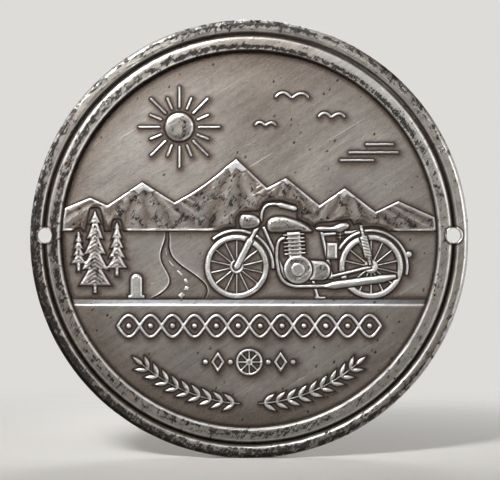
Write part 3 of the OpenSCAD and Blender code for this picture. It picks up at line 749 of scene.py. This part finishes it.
def edge_dents(points):
    """How far the nicks push the outer edge inwards at each point's angle, from 0 to 1."""
    settings = bpy.context.scene.plaque_edge
    rng = np.random.default_rng(7)
    angle = np.arctan2(points[:, 1], points[:, 0])
    total = 0.12 * (1 + waves(np.column_stack([angle * EDGE_R, 0 * angle]), 3, 9, 1))
    for _ in range(settings.nicks):
        # Most nicks are on the left, as on a plaque that has been prised off from there
        at = rng.normal(math.radians(150), math.radians(75))
        width = rng.uniform(0.25, 1.1) / EDGE_R
        depth = rng.uniform(0.2, 1) ** 1.5
        gap = np.abs((angle - at + math.pi) % (2 * math.pi) - math.pi)
        total = np.maximum(total, depth * bell(gap, width))
    return np.clip(total, 0, 1)


def dented(points):
    """Points near the outer edge, moved inwards where it is nicked."""
    radius = from_middle(points)
    share = smooth_step((radius - EDGE_R + 1) / 1)
    push = bpy.context.scene.plaque_edge.nick_depth * edge_dents(points) * share
    return points * (1 - push / np.maximum(radius, 1))[:, None]


def rings_round(radii, count):
    """Points on circles of the given radii, with count on each, turned by half a step in turn."""
    points = []
    for k, r in enumerate(radii):
        turn = (np.arange(count) + 0.5 * (k % 2)) * 2 * math.pi / count
        points.append(r * np.column_stack([np.cos(turn), np.sin(turn)]))
    return np.concatenate(points)


def stations(low, high, corners, step):
    """Radii from low to high, closer together at the corners of a rim's section."""
    marks = list(np.arange(low + step, high - step / 2, step))
    for corner in corners:
        marks = [m for m in marks if abs(m - corner) > 0.17]
        marks += [corner + d for d in (-0.15, -0.09, -0.03, 0.03, 0.09, 0.15)]
    return sorted(m for m in marks if low + 0.02 < m < high - 0.02)


def hole_loops():
    """The outlines of the screw holes."""
    return [circle(HOLE_R, HOLE_POINTS, hole) for hole in HOLES]


def round_holes():
    """Points on small circles round the screw holes."""
    return np.concatenate([circle(HOLE_R + gap, HOLE_POINTS, hole) for hole in HOLES
                           for gap in (0.05, 0.1, 0.15, 0.21, 0.28, 0.38, 0.5)])


def round_about(points, bumps, least=0.0):
    """A share that varies with the angle round the plaque, from bumps of (degrees, spread, share)."""
    angle = np.degrees(np.arctan2(points[:, 1], points[:, 0]))
    total = np.full(len(points), float(least))
    for at, spread, share in bumps:
        gap = (angle - at + 180) % 360 - 180
        total += share * bell(gap, spread)
    return total


def rim_patina_and_shade(points, radius, rubbed):
    """Patina on the groove's floor, painted shade on its wall that looks to the lower right, and patina
    with painted shade at the field's edge.
    """
    side = round_about(points, SHADE_SIDES)
    floor = bell(radius - SEAM_R - 0.08 * side, 0.17, 4)
    inner_wall = smooth_step((radius - INNER_SHOULDER + 0.05) / 0.25) * (radius < SEAM_R)
    outer_wall = smooth_step((OUTER_SHOULDER + 0.05 - radius) / 0.25) * (radius >= SEAM_R)
    # Painted shade on the groove's wall that looks to the lower right, and patina along its floor
    groove = np.max([floor, inner_wall * (0.3 - 0.5 * side), outer_wall * (0.3 + 0.5 * side)], axis=0)
    # Where the groove's inner wall is rubbed too, only a thin line stays dark
    groove = np.maximum(groove * (1 - 0.75 * rubbed), rubbed * bell(radius - SEAM_R - 0.3, 0.14))
    # Patina and painted shade at the foot of the wall beside the field, more where it looks to the
    # lower right
    foot = bell(radius - FIELD_R + 0.05, 0.3 + 0.12 * side) * (0.75 + 0.25 * side)
    return np.maximum(groove, foot)


def rim_lips(points, radius):
    """The bright lines along the shoulders, on both sides of the groove and beside the field: rubbed
    metal with a painted highlight, dimmed in places round the plaque.
    """
    # Each with its radius, its spread, its usual share and where round the plaque its painted highlight
    # is duller
    return sum(round_about(points, duller, share) * bell(radius - lip, spread)
               for lip, spread, share, duller in
               ((INNER_SHOULDER - 0.16, 0.17, 1, ((255, 60, -0.55), (8, 26, -0.6))),
                (OUTER_SHOULDER + 0.2, 0.15, 0.8, ((225, 60, -0.6),)),
                (INNER_LIP + 0.03, 0.15, 0.95, ((65, 45, -0.6),))))


def rim_tarnish(points, radius):
    """How much of the silver is eaten away on the flats of the two rims."""
    inner, outer = round_about(points, INNER_PATCHES, 0.3), round_about(points, OUTER_PATCHES, 0.35)
    # At the top and the upper right the inner rim's patches keep to the field's side
    fringe = round_about(points, ((70, 42, 1),))
    inner += 0.4 * fringe
    inner *= 0.3 - 0.29 * fringe + 0.7 * bell(radius - PATCH_R + 0.68 * fringe, 0.8 - 0.3 * fringe, 4)
    outer *= 0.6 + 0.8 * bell(radius - EDGE_START + 0.05, 0.3)
    outer *= 0.25 + 0.75 * smooth_step((radius - OUTER_SHOULDER - 0.2) / 0.35)
    return np.where(radius < SEAM_R, inner, outer)


def rim_piece(name, profile, low, high):
    """One rim as a ring with worn shoulders, cut by the screw holes, with a burr round each."""
    radii, level = profile
    burr = bpy.context.scene.plaque_edge.burr

    def front(points):
        radius = from_middle(points)
        rise = np.mean([np.interp(radius + d, radii, level) for d in np.linspace(-0.1, 0.1, 7)], axis=0)
        # Wear has rounded the shoulders beside the groove and beside the field
        for start, end, power, drop in (
                (INNER_SHOULDER - 0.4, SEAM_R + 0.02, 1.6, RIM_TOP - GROOVE_FLOOR),
                (OUTER_SHOULDER + 0.36, SEAM_R - 0.02, 1.6, RIM_TOP - GROOVE_FLOOR),
                (INNER_LIP - 0.04, FIELD_R - 0.1, 2.2, RIM_TOP - INNER[1][0])):
            t = (radius - start) / (end - start)
            rise = np.where((t > 0) & (t < 1.2), RIM_TOP - drop * np.clip(t, 0, 1) ** power, rise)
        # A fine line runs along the groove's floor, and the outer edge slopes and then rounds over
        rise -= 0.14 * bell(radius - SEAM_R, 0.12)
        bevel = np.clip((radius - EDGE_START + 0.05) / (EDGE_R - EDGE_START + 0.05), 0, 1)
        rise = np.where(bevel > 0, RIM_TOP - 0.3 * bevel - 1.6 * np.maximum(bevel - 0.6, 0) ** 2, rise)
        rise += waves(points, 21, 7, 0.012) * (rise > RIM_TOP - 0.4)
        rise -= 0.12 * edge_dents(points) * smooth_step((radius - EDGE_R + 0.7) / 0.7)
        rise += burr * bell(from_hole(points) - HOLE_R - 0.1, 0.09)
        return np.clip(rise, DISC_TOP + 0.1, RIM_TOP + burr)

    def marks(points):
        radius, hole = from_middle(points), from_hole(points)
        # The groove's inner wall is rubbed at the upper right
        rubbed = round_about(points, ((48, 28, 1),))
        dirt = rim_patina_and_shade(points, radius, rubbed) * smooth_step((hole - HOLE_R) / 0.25)
        # Each burr is bright, with a dark ring round it
        burr_wear = bell(hole - HOLE_R - 0.08, 0.13)
        ring = 0.8 * bell(hole - HOLE_R - 0.42, 0.14)
        lips = rim_lips(points, radius)
        edge = smooth_step((radius - EDGE_START + 0.03) / 0.2)
        nicked = edge * smooth_step((edge_dents(points) - 0.35) / 0.3)
        # Tarnish and painted shade on the outer edge, most at the lower left
        edge_tarnish_and_shade = edge * round_about(points, EDGE_TARNISH_AND_SHADE)
        rubbed_flat = (round_about(points, ((45, 25, 0.3),)) * bell(radius - PATCH_R - 0.6, 0.6, 4)
                       + 0.8 * rubbed * bell(radius - SEAM_R + 0.2, 0.28, 4))
        # Duller on the left, at the inner rim's top and at the lower right of the outer rim
        from_groove = smooth_step((radius - OUTER_SHOULDER - 0.3) / 1)
        dull = (1 - edge) * (1 - lips) * (
            round_about(points, ((185, 34, 0.2), (225, 30, 0.1)))
            + round_about(points, ((92, 24, 0.22),)) * (radius < SEAM_R)
            + round_about(points, ((318, 26, 0.3),)) * from_groove)
        return {"dirt": np.max([dirt, ring, 0.75 * edge_tarnish_and_shade, 0.8 * nicked, dull], axis=0),
                "worn": np.max([lips, edge - 0.6 * edge_tarnish_and_shade, burr_wear, rubbed_flat], axis=0),
                "tarnish": np.maximum(rim_tarnish(points, radius), edge_tarnish_and_shade)}

    free = np.concatenate([rings_round(stations(low, high, corners_of(profile), 0.32), EDGE_POINTS),
                           round_holes()])
    around = np.hypot(free[:, 0], free[:, 1])
    free = free[(around > low + 0.02) & (around < high - 0.02)]
    outer = circle(high, EDGE_POINTS)
    if high == EDGE_R:
        free, outer = dented(free), dented(outer)
    loops = [outer, circle(low, EDGE_POINTS)[::-1]] + hole_loops()

    def keep(points):
        radius = from_middle(points)
        return (radius > low) & (radius < high) & (from_hole(points) > HOLE_R)

    return skin(name, loops, free, front, DISC_TOP, keep=keep, marks=marks,
                bevel=0.1 if high == EDGE_R else 0)


def segment(radius, cut, above):
    """The outline of a circle's part above or below a level line, with the metal on the right."""
    start = math.asin(cut / radius)
    first, last, count = (math.pi - start, start, 1000) if above else (start, -math.pi - start, 800)
    turn = np.linspace(first, last, count)
    arc = radius * np.column_stack([np.cos(turn), np.sin(turn)])
    line = np.linspace(arc[-1], arc[0], 240)[1:-1]
    return np.concatenate([arc, line])


def round_motifs(names):
    """The outlines of all the shapes on a surface."""
    return [loop for name in names for loop in foot_outlines(name)[1]]


def surface_points(loops, outline, spacing, extra=()):
    """Free points for a ground: a grid, with closer rings round the shapes that stand on it."""
    parts = [honeycomb(outline.min(0), outline.max(0), spacing)]
    for gap, step in ((-0.02, 0.24), (-0.1, 0.24), (-0.22, 0.24), (-0.38, 0.36), (-0.6, 0.48)):
        parts.append(beside(loops, gap, step))
    parts += list(extra)
    return np.concatenate(parts)


def patina_and_shadow_round(near, points, gap, width):
    """Patina round raised shapes as a thin line at their foot, and painted shadow as soft clouds to
    their lower right.
    """
    close = near(points + (-0.6 * width, 0.6 * width))
    broad = near(points + (-1.6 * width, 1.6 * width))
    return (0.6 * bell(gap, 0.55 * width) + 0.3 * bell(close, 1.9 * width)
            + 0.2 * bell(broad, 5 * width))


def within(points, limit_r, low=-99, high=99):
    """The points inside a radius and between two heights, clear of these limits by a little."""
    radius = from_middle(points)
    up = points[:, 1]
    return points[(radius < limit_r - 0.03) & (up > low + 0.03) & (up < high - 0.03)]


class PLAQUE_OT_disc(bpy.types.Operator):
    """Build the disc with its plain back, its edge and the bores of the screw holes"""
    bl_idname = "plaque.disc"
    bl_label = "Disc"

    def execute(self, context):
        outer = dented(circle(EDGE_R, EDGE_POINTS))
        # Wide rings on the plain back, and close ones where the nicks and the rounded edge begin
        wide = rings_round(np.arange(1, EDGE_R - 1, 1.4), 180)
        close = rings_round([EDGE_R - gap for gap in (0.5, 0.3, 0.18, 0.1, 0.04)], EDGE_POINTS)
        free = np.concatenate([wide, dented(close), round_holes()])

        def back(points):
            radius = from_middle(points)
            gap = np.minimum(EDGE_R - radius, from_hole(points) - HOLE_R)
            t = np.clip(gap / 0.3, 0, 1)
            # Rounded at its edges, with a shallow turned mark in the middle
            return 0.25 * (1 - np.sqrt(1 - (1 - t) ** 2)) + 0.02 * (radius < 10)

        def keep(points):
            return (from_middle(points) < EDGE_R) & (from_hole(points) > HOLE_R)

        piece = skin("struck_blank", [outer] + hole_loops(), free,
                     lambda points: np.full(len(points), DISC_TOP), 0, keep=keep, back=back)
        finished(piece, "disc", dull_back())
        return {"FINISHED"}


class PLAQUE_OT_rims(bpy.types.Operator):
    """Build the outer rim with its nicked edge and the inner rim, with the groove between them"""
    bl_idname = "plaque.rims"
    bl_label = "Rims and groove"

    def execute(self, context):
        finish = context.scene.plaque_finish
        material = struck_metal("Silvered brass, worn rim", finish.rim, finish, rough=0.36,
                                scratched=0.6, rim=True, seed=3)
        outer = rim_piece("rim_outer_worn", OUTER, SEAM_R, EDGE_R)
        inner = rim_piece("rim_inner_worn", INNER, FIELD_R - 0.05, SEAM_R)
        finished(outer, "outer_rim", material)
        finished(inner, "inner_rim", material)
        return {"FINISHED"}


class PLAQUE_OT_field(bpy.types.Operator):
    """Build the picture field with its sunk road, and the lower panel with its step"""
    bl_idname = "plaque.field"
    bl_label = "Field and panel"

    def execute(self, context):
        relief, finish = context.scene.plaque_relief, context.scene.plaque_finish
        material = struck_metal("Silvered brass, satin field", finish.satin, finish, rough=0.4,
                                scratched=0)
        self.field(relief, material)
        self.panel(relief, material)
        return {"FINISHED"}

    def field(self, relief, material):
        """The ground above the step, with the road sunk into it."""
        # The ground runs on a little under the inner rim, and under the panel below the step's foot
        reach, low = FIELD_R + 0.2, STEP_FOOT - 0.15
        # The snow stands on the mountains and the dashes in the road, so neither shades the field
        motifs = round_motifs([n for n in MOTORCYCLE + LANDSCAPE + SKY
                               if n not in ("snow_caps", "road_dashes")])
        motif_near = Nearness(motifs)
        road = top_outlines("picture_field", ROAD_BED)
        road_near = Nearness(road)
        outline = segment(reach, low, True)
        rings = [beside(road, gap, 0.24) for gap in (-0.3, -0.16, -0.06, 0.03, 0.09, 0.16, 0.25, 0.4)]
        free = surface_points(motifs, outline, 0.52, rings)
        free = within(free, reach, low=low)

        def front(points):
            gap = road_near(points)
            sunk = inside(points, road)
            bed = smooth_step(gap / 0.2)
            level = FIELD_TOP + waves(points, 5, 9, relief.unevenness)
            level -= (FIELD_TOP - ROAD_BED) * bed * sunk
            level += relief.lip * bell(gap, 0.16) * ~sunk
            return level - 0.05 * (points[:, 1] < STEP_FOOT - 0.02)

        def marks(points):
            gap = motif_near(points)
            edge = road_near(points)
            sunk = inside(points, road)
            radius = from_middle(points)
            halo = patina_and_shadow_round(motif_near, points, gap, relief.halo)
            side = round_about(points, SHADE_SIDES)
            # Patina along the rim's wall, with painted shadow of the wall that is wider where it looks
            # to the lower right, and painted shade that fades over some millimetres
            foot = ((0.7 + 0.25 * side) * bell(FIELD_R - radius, 0.45 + 0.23 * side)
                    + (0.17 + 0.13 * side) * bell(FIELD_R - radius, 4.5))
            # Patina at the step's foot, and painted shade in a broad band above it
            above = points[:, 1] - STEP_FOOT
            step = 0.45 * bell(above, 0.3) + 0.4 * bell(above, 1.2)
            # The road's banks are darkened with patina and painted shadow, its bed is a little darker,
            # and the lip beside it is rubbed
            bank = np.where(sunk, 0.85 * bell(edge - 0.12, 0.22) + 0.2, 0)
            lip = np.where(sunk, 0, bell(edge - 0.05, 0.13)) * (gap > 0.2)
            # Painted shade: darker round a point near the top of the field
            dull = 0.24 * bell(np.hypot(points[:, 0] - 4, points[:, 1] - 26), 13)
            return {"dirt": np.max([halo, foot + dull, step, bank], axis=0), "worn": 0.9 * lip}

        piece = skin("picture_ground", [outline], free, front, DISC_TOP, marks=marks)
        finished(piece, "picture_field", material)

    def panel(self, relief, material):
        """The ground below the step, with the step's slope."""
        reach = FIELD_R + 0.3
        motifs = round_motifs(ORNAMENT)
        motif_near = Nearness(motifs)
        outline = segment(reach, STEP_FOOT, False)
        strip = honeycomb((-reach, STEP_HEAD - 0.2), (reach, STEP_FOOT), 0.11)
        free = within(surface_points(motifs, outline, 0.42, [strip]), reach, high=STEP_FOOT)

        def front(points):
            slope = np.mean([np.clip((STEP_FOOT - points[:, 1] + d) / (STEP_FOOT - STEP_HEAD), 0, 1)
                             for d in (-0.1, -0.05, 0, 0.05, 0.1)], axis=0)
            return (FIELD_TOP + (PANEL_TOP - FIELD_TOP) * slope
                    + waves(points, 6, 9, relief.unevenness) * slope)

        def marks(points):
            gap = motif_near(points)
            radius = from_middle(points)
            halo = patina_and_shadow_round(motif_near, points, gap, relief.halo)
            # Patina along the rim's wall, and painted shade that spreads from the rim, most at the
            # lower left and the bottom
            foot = (0.6 * bell(FIELD_R + 0.1 - radius, 0.35)
                    + round_about(points, ((215, 45, 0.1), (268, 30, 0.12)), 0.2)
                    * bell(FIELD_R - radius, 6.5))
            step = 0.75 * bell(points[:, 1] - STEP_FOOT, 0.16)
            lip = bell(points[:, 1] - STEP_HEAD, 0.17)
            return {"dirt": np.max([halo, foot, step], axis=0), "worn": lip}

        piece = skin("panel_ground", [outline], free, front, DISC_TOP, marks=marks)
        finished(piece, "lower_panel", material)
        # The step's slope gets a darker, cooler copy of the field's metal, as painted shade with a cool
        # painted reflection
        finish = bpy.context.scene.plaque_finish
        piece.data.materials.append(struck_metal("Silvered brass, shaded step", finish.step, finish,
                                                 rough=0.4, scratched=0, seed=9))
        for face in piece.data.polygons:
            if face.normal.y < 0 and face.center.z > (STEP_HEAD + 0.12) * MM:
                face.material_index = 1


# Rounding of each shape's edge in millimetres: half a stroke's width gives a round bead
ROUNDING = {"front_wheel": 0.6, "rear_wheel": 0.6, "front_mudguard": 0.37, "rear_mudguard": 0.37,
            "front_fork": 0.5, "handlebar": 0.4, "headlamp": 1.2, "fuel_tank": 1.5, "saddle": 0.9,
            "engine": 0.4, "gearbox": 0.9, "exhaust": 0.85, "tool_box": 0.45, "rear_spring": 0.5,
            "frame_tubes": 0.37, "prop_stand": 0.35, "mountains": 0.3, "snow_caps": 0.35,
            "road_dashes": 0.25, "pines": 0.6, "milestone": 0.5, "sun": 1.4, "sun_rays": 0.31,
            "birds": 0.31, "cloud_lines": 0.31, "wave_band": 0.35, "band_bosses": 0.6,
            "wheel_ornament": 0.3, "lozenges": 0.36, "laurel_left": 0.5, "laurel_right": 0.5}
# Smaller for the lowest level of a shape with several: spokes and cooling fins
THIN = {"front_wheel": 0.16, "rear_wheel": 0.16, "engine": 0.35}


def relief_piece(name, seed, carving=None, quiet=None):
    """A struck shape over its solid, with a further step for each higher level of the solid."""
    foot, loops = foot_outlines(name)
    steps = levels(name)
    parts = [struck_shape(name + "_struck", loops, foot, steps[0] - foot,
                          THIN.get(name, ROUNDING[name]), seed, carving if len(steps) == 1 else None,
                          quiet)]
    for below, level in zip(steps, steps[1:]):
        loops = top_outlines(name, level, filled=name == "engine")
        parts.append(struck_shape(f"{name}_{level}", loops, below, level - below, ROUNDING[name],
                                  seed, carving))
    return joined(parts)


def grooves(place, pitch, depth):
    """Depth of evenly spaced grooves at a place across them."""
    return -depth * (0.5 + 0.5 * np.cos(2 * math.pi * place / pitch)) ** 2


def inset_line(at, depth, width=0.11):
    """A carving of one line that runs inside a shape's outline."""
    return lambda points, gap: -depth * bell(gap - at, width)


def middle_of(name):
    """The middle of a node as the front shows it, and half its width."""
    low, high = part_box(name)
    return np.array([(low.x + high.x) / 2, (low.z + high.z) / 2]) / MM, (high.x - low.x) / 2 / MM


def tyre(name):
    """A carving of short tread grooves across a tyre's outer edge."""
    middle, radius = middle_of(name)

    def carving(points, gap):
        way = points - middle
        turn = np.arctan2(way[:, 1], way[:, 0])
        tread = grooves(turn * 60 / (2 * math.pi), 1, 0.05)
        return tread * (np.linalg.norm(way, axis=1) > radius - 0.55)
    return carving


def coils(pitch, depth):
    """A carving of a spring's turns, a little aslant."""
    return lambda points, gap: grooves(points[:, 1] + 0.25 * points[:, 0], pitch, depth)


def branches(points, gap):
    """A carving of the pines' branches, which droop on both sides of each tree's middle."""
    outline = np.concatenate(foot_outlines("pines")[1])
    x, z = outline.T
    # The tops are the points with nothing above them within 1.2 mm to either side
    above = (np.abs(x[:, None] - x[None]) < 1.2) & (z[None] > z[:, None])
    far = points[:, None] - outline[~above.any(1)][None]
    aside = np.abs(far[:, :, 0])
    slant = np.where(far[:, :, 1] < 0.2, aside / (0.5 - np.minimum(far[:, :, 1], 0)), 99)
    aside = aside[np.arange(len(points)), np.argmin(slant, axis=1)]
    return grooves(points[:, 1] + 0.7 * aside, 0.8, 0.06) * smooth_step((gap - 0.12) / 0.2)


def rock(points, gap):
    """A carving of the mountains' facets, as ridges that fan out below each peak."""
    caps = top_outlines("snow_caps", levels("snow_caps")[-1])
    peaks = np.array([loop[np.argmax(loop[:, 1])] for loop in caps])
    far = points[:, None] - peaks[None]
    nearest = np.argmin(np.abs(far[:, :, 0]) - 0.5 * far[:, :, 1], axis=1)
    dx, dz = far[np.arange(len(points)), nearest].T
    fan = dx / (np.abs(dz) + 1.5)
    ridge = np.abs((fan * 2.1 + 0.07 * np.sin(1.3 * dz + 9 * fan) + 0.3) % 1 - 0.5) * 2
    return -0.075 * (1 - ridge) * smooth_step((gap - 0.2) / 0.5)


def relief_pieces(names, carvings=None):
    """Builds a group of raised shapes in the same metal, some with a carving on top."""
    finish = bpy.context.scene.plaque_finish
    material = bpy.data.materials.get("Silvered brass, raised shapes") or struck_metal(
        "Silvered brass, raised shapes", shade(finish.satin, 1.12), finish, rough=0.36,
        scratched=0.8, seed=6)
    for k, name in enumerate(names):
        quiet = Nearness(round_motifs(MOTORCYCLE + ["pines"])) if name == "mountains" else None
        piece = relief_piece(name, 40 + k, (carvings or {}).get(name), quiet)
        finished(piece, name, material)


class PLAQUE_OT_motorcycle(bpy.types.Operator):
    """Build the parked motorcycle's sixteen raised shapes"""
    bl_idname = "plaque.motorcycle"
    bl_label = "Motorcycle"

    def execute(self, context):
        relief_pieces(MOTORCYCLE, {
            "front_wheel": tyre("front_wheel"), "rear_wheel": tyre("rear_wheel"),
            "rear_spring": coils(0.6, 0.12), "fuel_tank": inset_line(0.55, 0.08),
            "headlamp": inset_line(0.5, 0.08), "saddle": inset_line(0.38, 0.06, 0.09),
            "tool_box": inset_line(0.34, 0.06, 0.08)})
        return {"FINISHED"}


class PLAQUE_OT_landscape(bpy.types.Operator):
    """Build the mountains with their snow, the pines, the milestone and the road's dashes"""
    bl_idname = "plaque.landscape"
    bl_label = "Landscape"

    def execute(self, context):
        relief_pieces(LANDSCAPE, {"mountains": rock, "pines": branches})
        return {"FINISHED"}


class PLAQUE_OT_sky(bpy.types.Operator):
    """Build the sun with its rays, the birds and the cloud lines"""
    bl_idname = "plaque.sky"
    bl_label = "Sky"

    def execute(self, context):
        relief_pieces(SKY, {"sun": inset_line(0.62, 0.09)})
        return {"FINISHED"}


class PLAQUE_OT_ornament(bpy.types.Operator):
    """Build the wave band, the wheel with its lozenges and the two laurel branches"""
    bl_idname = "plaque.ornament"
    bl_label = "Ornament"

    def execute(self, context):
        relief_pieces(ORNAMENT)
        return {"FINISHED"}


# Width of the camera's sensor, and radius of the floor with the points round it
SENSOR_WIDTH = 36
FLOOR_R, FLOOR_POINTS = 3000, 64


class PLAQUE_OT_stage(bpy.types.Operator):
    """Set up the floor, the background, the lamps and the camera"""
    bl_idname = "plaque.stage"
    bl_label = "Stage"

    def execute(self, context):
        stage = context.scene.plaque_stage
        self.floor(stage)
        self.background(stage)
        # A soft light at the upper left, which fades across the plaque, one from the right, and
        # one from behind for the back and the floor
        self.lamp("Key", (-0.13, -0.34, 0.23), 0.14, 0.135 * stage.key, (-0.023, 0, 0.04), 30)
        self.lamp("Side", (0.3, -0.36, 0.06), 0.2, 0.9 * stage.key)
        self.lamp("Rear", (0.1, 0.9, 0.8), 0.6, 4 * stage.key)
        self.camera(context, stage)
        return {"FINISHED"}

    def floor(self, stage):
        """A pale floor that fades into the background away from the plaque."""
        mesh = bpy.data.meshes.new("studio_floor")
        ring = [(x * MM, y * MM, CAD_BOX[0][2]) for x, y in circle(FLOOR_R, FLOOR_POINTS)]
        mesh.from_pydata(ring, [], [list(range(FLOOR_POINTS))[::-1]])
        floor = bpy.data.objects.new("studio_floor", mesh)
        bpy.context.scene.collection.objects.link(floor)
        # Matt paper with no pattern, so it takes the plaque's shadow and nothing else
        material, add, where = start_material("Pale paper")
        far = add("VectorMath", where, operation="LENGTH")
        fade = add("MapRange", far, 50, 220, interpolation_type="SMOOTHSTEP")
        paper = add("BsdfDiffuse", shade(stage.paper, 0.85))
        add("OutputMaterial", add("MixShader", fade, paper, add("BsdfTransparent")))
        mesh.materials.append(material)

    def background(self, stage):
        """Pale all round for the camera and for reflections, at a plain level for the rest."""
        world = bpy.data.worlds.new("Pale studio")
        bpy.context.scene.world = world
        add = cleared(world)
        path = add("LightPath").outputs
        seen = add("Math", path["Is Camera Ray"], path["Is Glossy Ray"], **MOST)
        seen = add("Math", seen, path["Is Transmission Ray"], **MOST)
        # The half of the studio in front of the plaque is darker, so that its relief reads
        depth = add("SeparateXYZ", add("TexCoord")).outputs["Y"]
        front = add("MapRange", depth, -0.97, -0.4, 0.36, 0.92, interpolation_type="SMOOTHSTEP")
        level = add("Mix", seen, 0.45, front, data_type="FLOAT")
        light = add("Background", stage.paper, level)
        add("OutputWorld", light)

    def lamp(self, name, place, size, power, aim=(0, 0, 0), spread=180):
        """A round soft light that looks at a point."""
        light = bpy.data.lights.new(name, "AREA")
        light.shape = "DISK"
        light.size = size
        light.energy = power
        light.spread = math.radians(spread)
        lamp = bpy.data.objects.new(name, light)
        lamp.location = place
        lamp.rotation_euler = (Vector(aim) - Vector(place)).to_track_quat("-Z", "Y").to_euler()
        bpy.context.scene.collection.objects.link(lamp)

    def camera(self, context, stage):
        """A long lens that looks straight at the face, so far off that the frame's width fits."""
        camera = bpy.data.cameras.new("Camera")
        camera.lens = stage.lens
        camera.sensor_width = SENSOR_WIDTH
        camera.clip_start, camera.clip_end = 0.01, 20
        seat = bpy.data.objects.new("Camera", camera)
        # The plaque sits a little left of and above the middle of the picture
        far = stage.lens * stage.frame_width / SENSOR_WIDTH + RIM_TOP * MM
        seat.location = (0.16 * MM, -far, -0.22 * MM)
        seat.rotation_euler = (math.pi / 2, 0, 0)
        context.scene.collection.objects.link(seat)
        context.scene.camera = seat


class PLAQUE_PT_panel(bpy.types.Panel):
    """Lists the plaque's settings and its pieces"""
    bl_label = "Struck plaque"
    bl_idname = "PLAQUE_PT_panel"
    bl_space_type = "VIEW_3D"
    bl_region_type = "UI"
    bl_category = "Plaque"

    def draw(self, context):
        layout, scene = self.layout, context.scene
        for title, group in (("Edge", scene.plaque_edge), ("Relief", scene.plaque_relief),
                             ("Finish", scene.plaque_finish), ("Stage", scene.plaque_stage)):
            box = layout.box()
            box.label(text=title)
            for key in group.__annotations__:
                box.prop(group, key)
        for operator in OPERATORS:
            layout.operator(operator.bl_idname)


GROUPS = {"plaque_edge": PlaqueEdgeSettings, "plaque_relief": PlaqueReliefSettings,
          "plaque_finish": PlaqueFinishSettings, "plaque_stage": PlaqueStageSettings}
OPERATORS = [PLAQUE_OT_disc, PLAQUE_OT_rims, PLAQUE_OT_field, PLAQUE_OT_motorcycle,
             PLAQUE_OT_landscape, PLAQUE_OT_sky, PLAQUE_OT_ornament, PLAQUE_OT_stage]


def register():
    for cls in [*GROUPS.values(), *OPERATORS, PLAQUE_PT_panel]:
        bpy.utils.register_class(cls)
    for name, cls in GROUPS.items():
        setattr(bpy.types.Scene, name, PointerProperty(type=cls))


def unregister():
    for name in GROUPS:
        delattr(bpy.types.Scene, name)
    for cls in reversed([*GROUPS.values(), *OPERATORS, PLAQUE_PT_panel]):
        bpy.utils.unregister_class(cls)


def main():
    register()
    bpy.context.scene.view_settings.view_transform = "Standard"
    bpy.ops.plaque.disc()
    bpy.ops.plaque.rims()
    bpy.ops.plaque.field()
    bpy.ops.plaque.motorcycle()
    bpy.ops.plaque.landscape()
    bpy.ops.plaque.sky()
    bpy.ops.plaque.ornament()
    bpy.ops.plaque.stage()


if __name__ == "__main__":
    main()
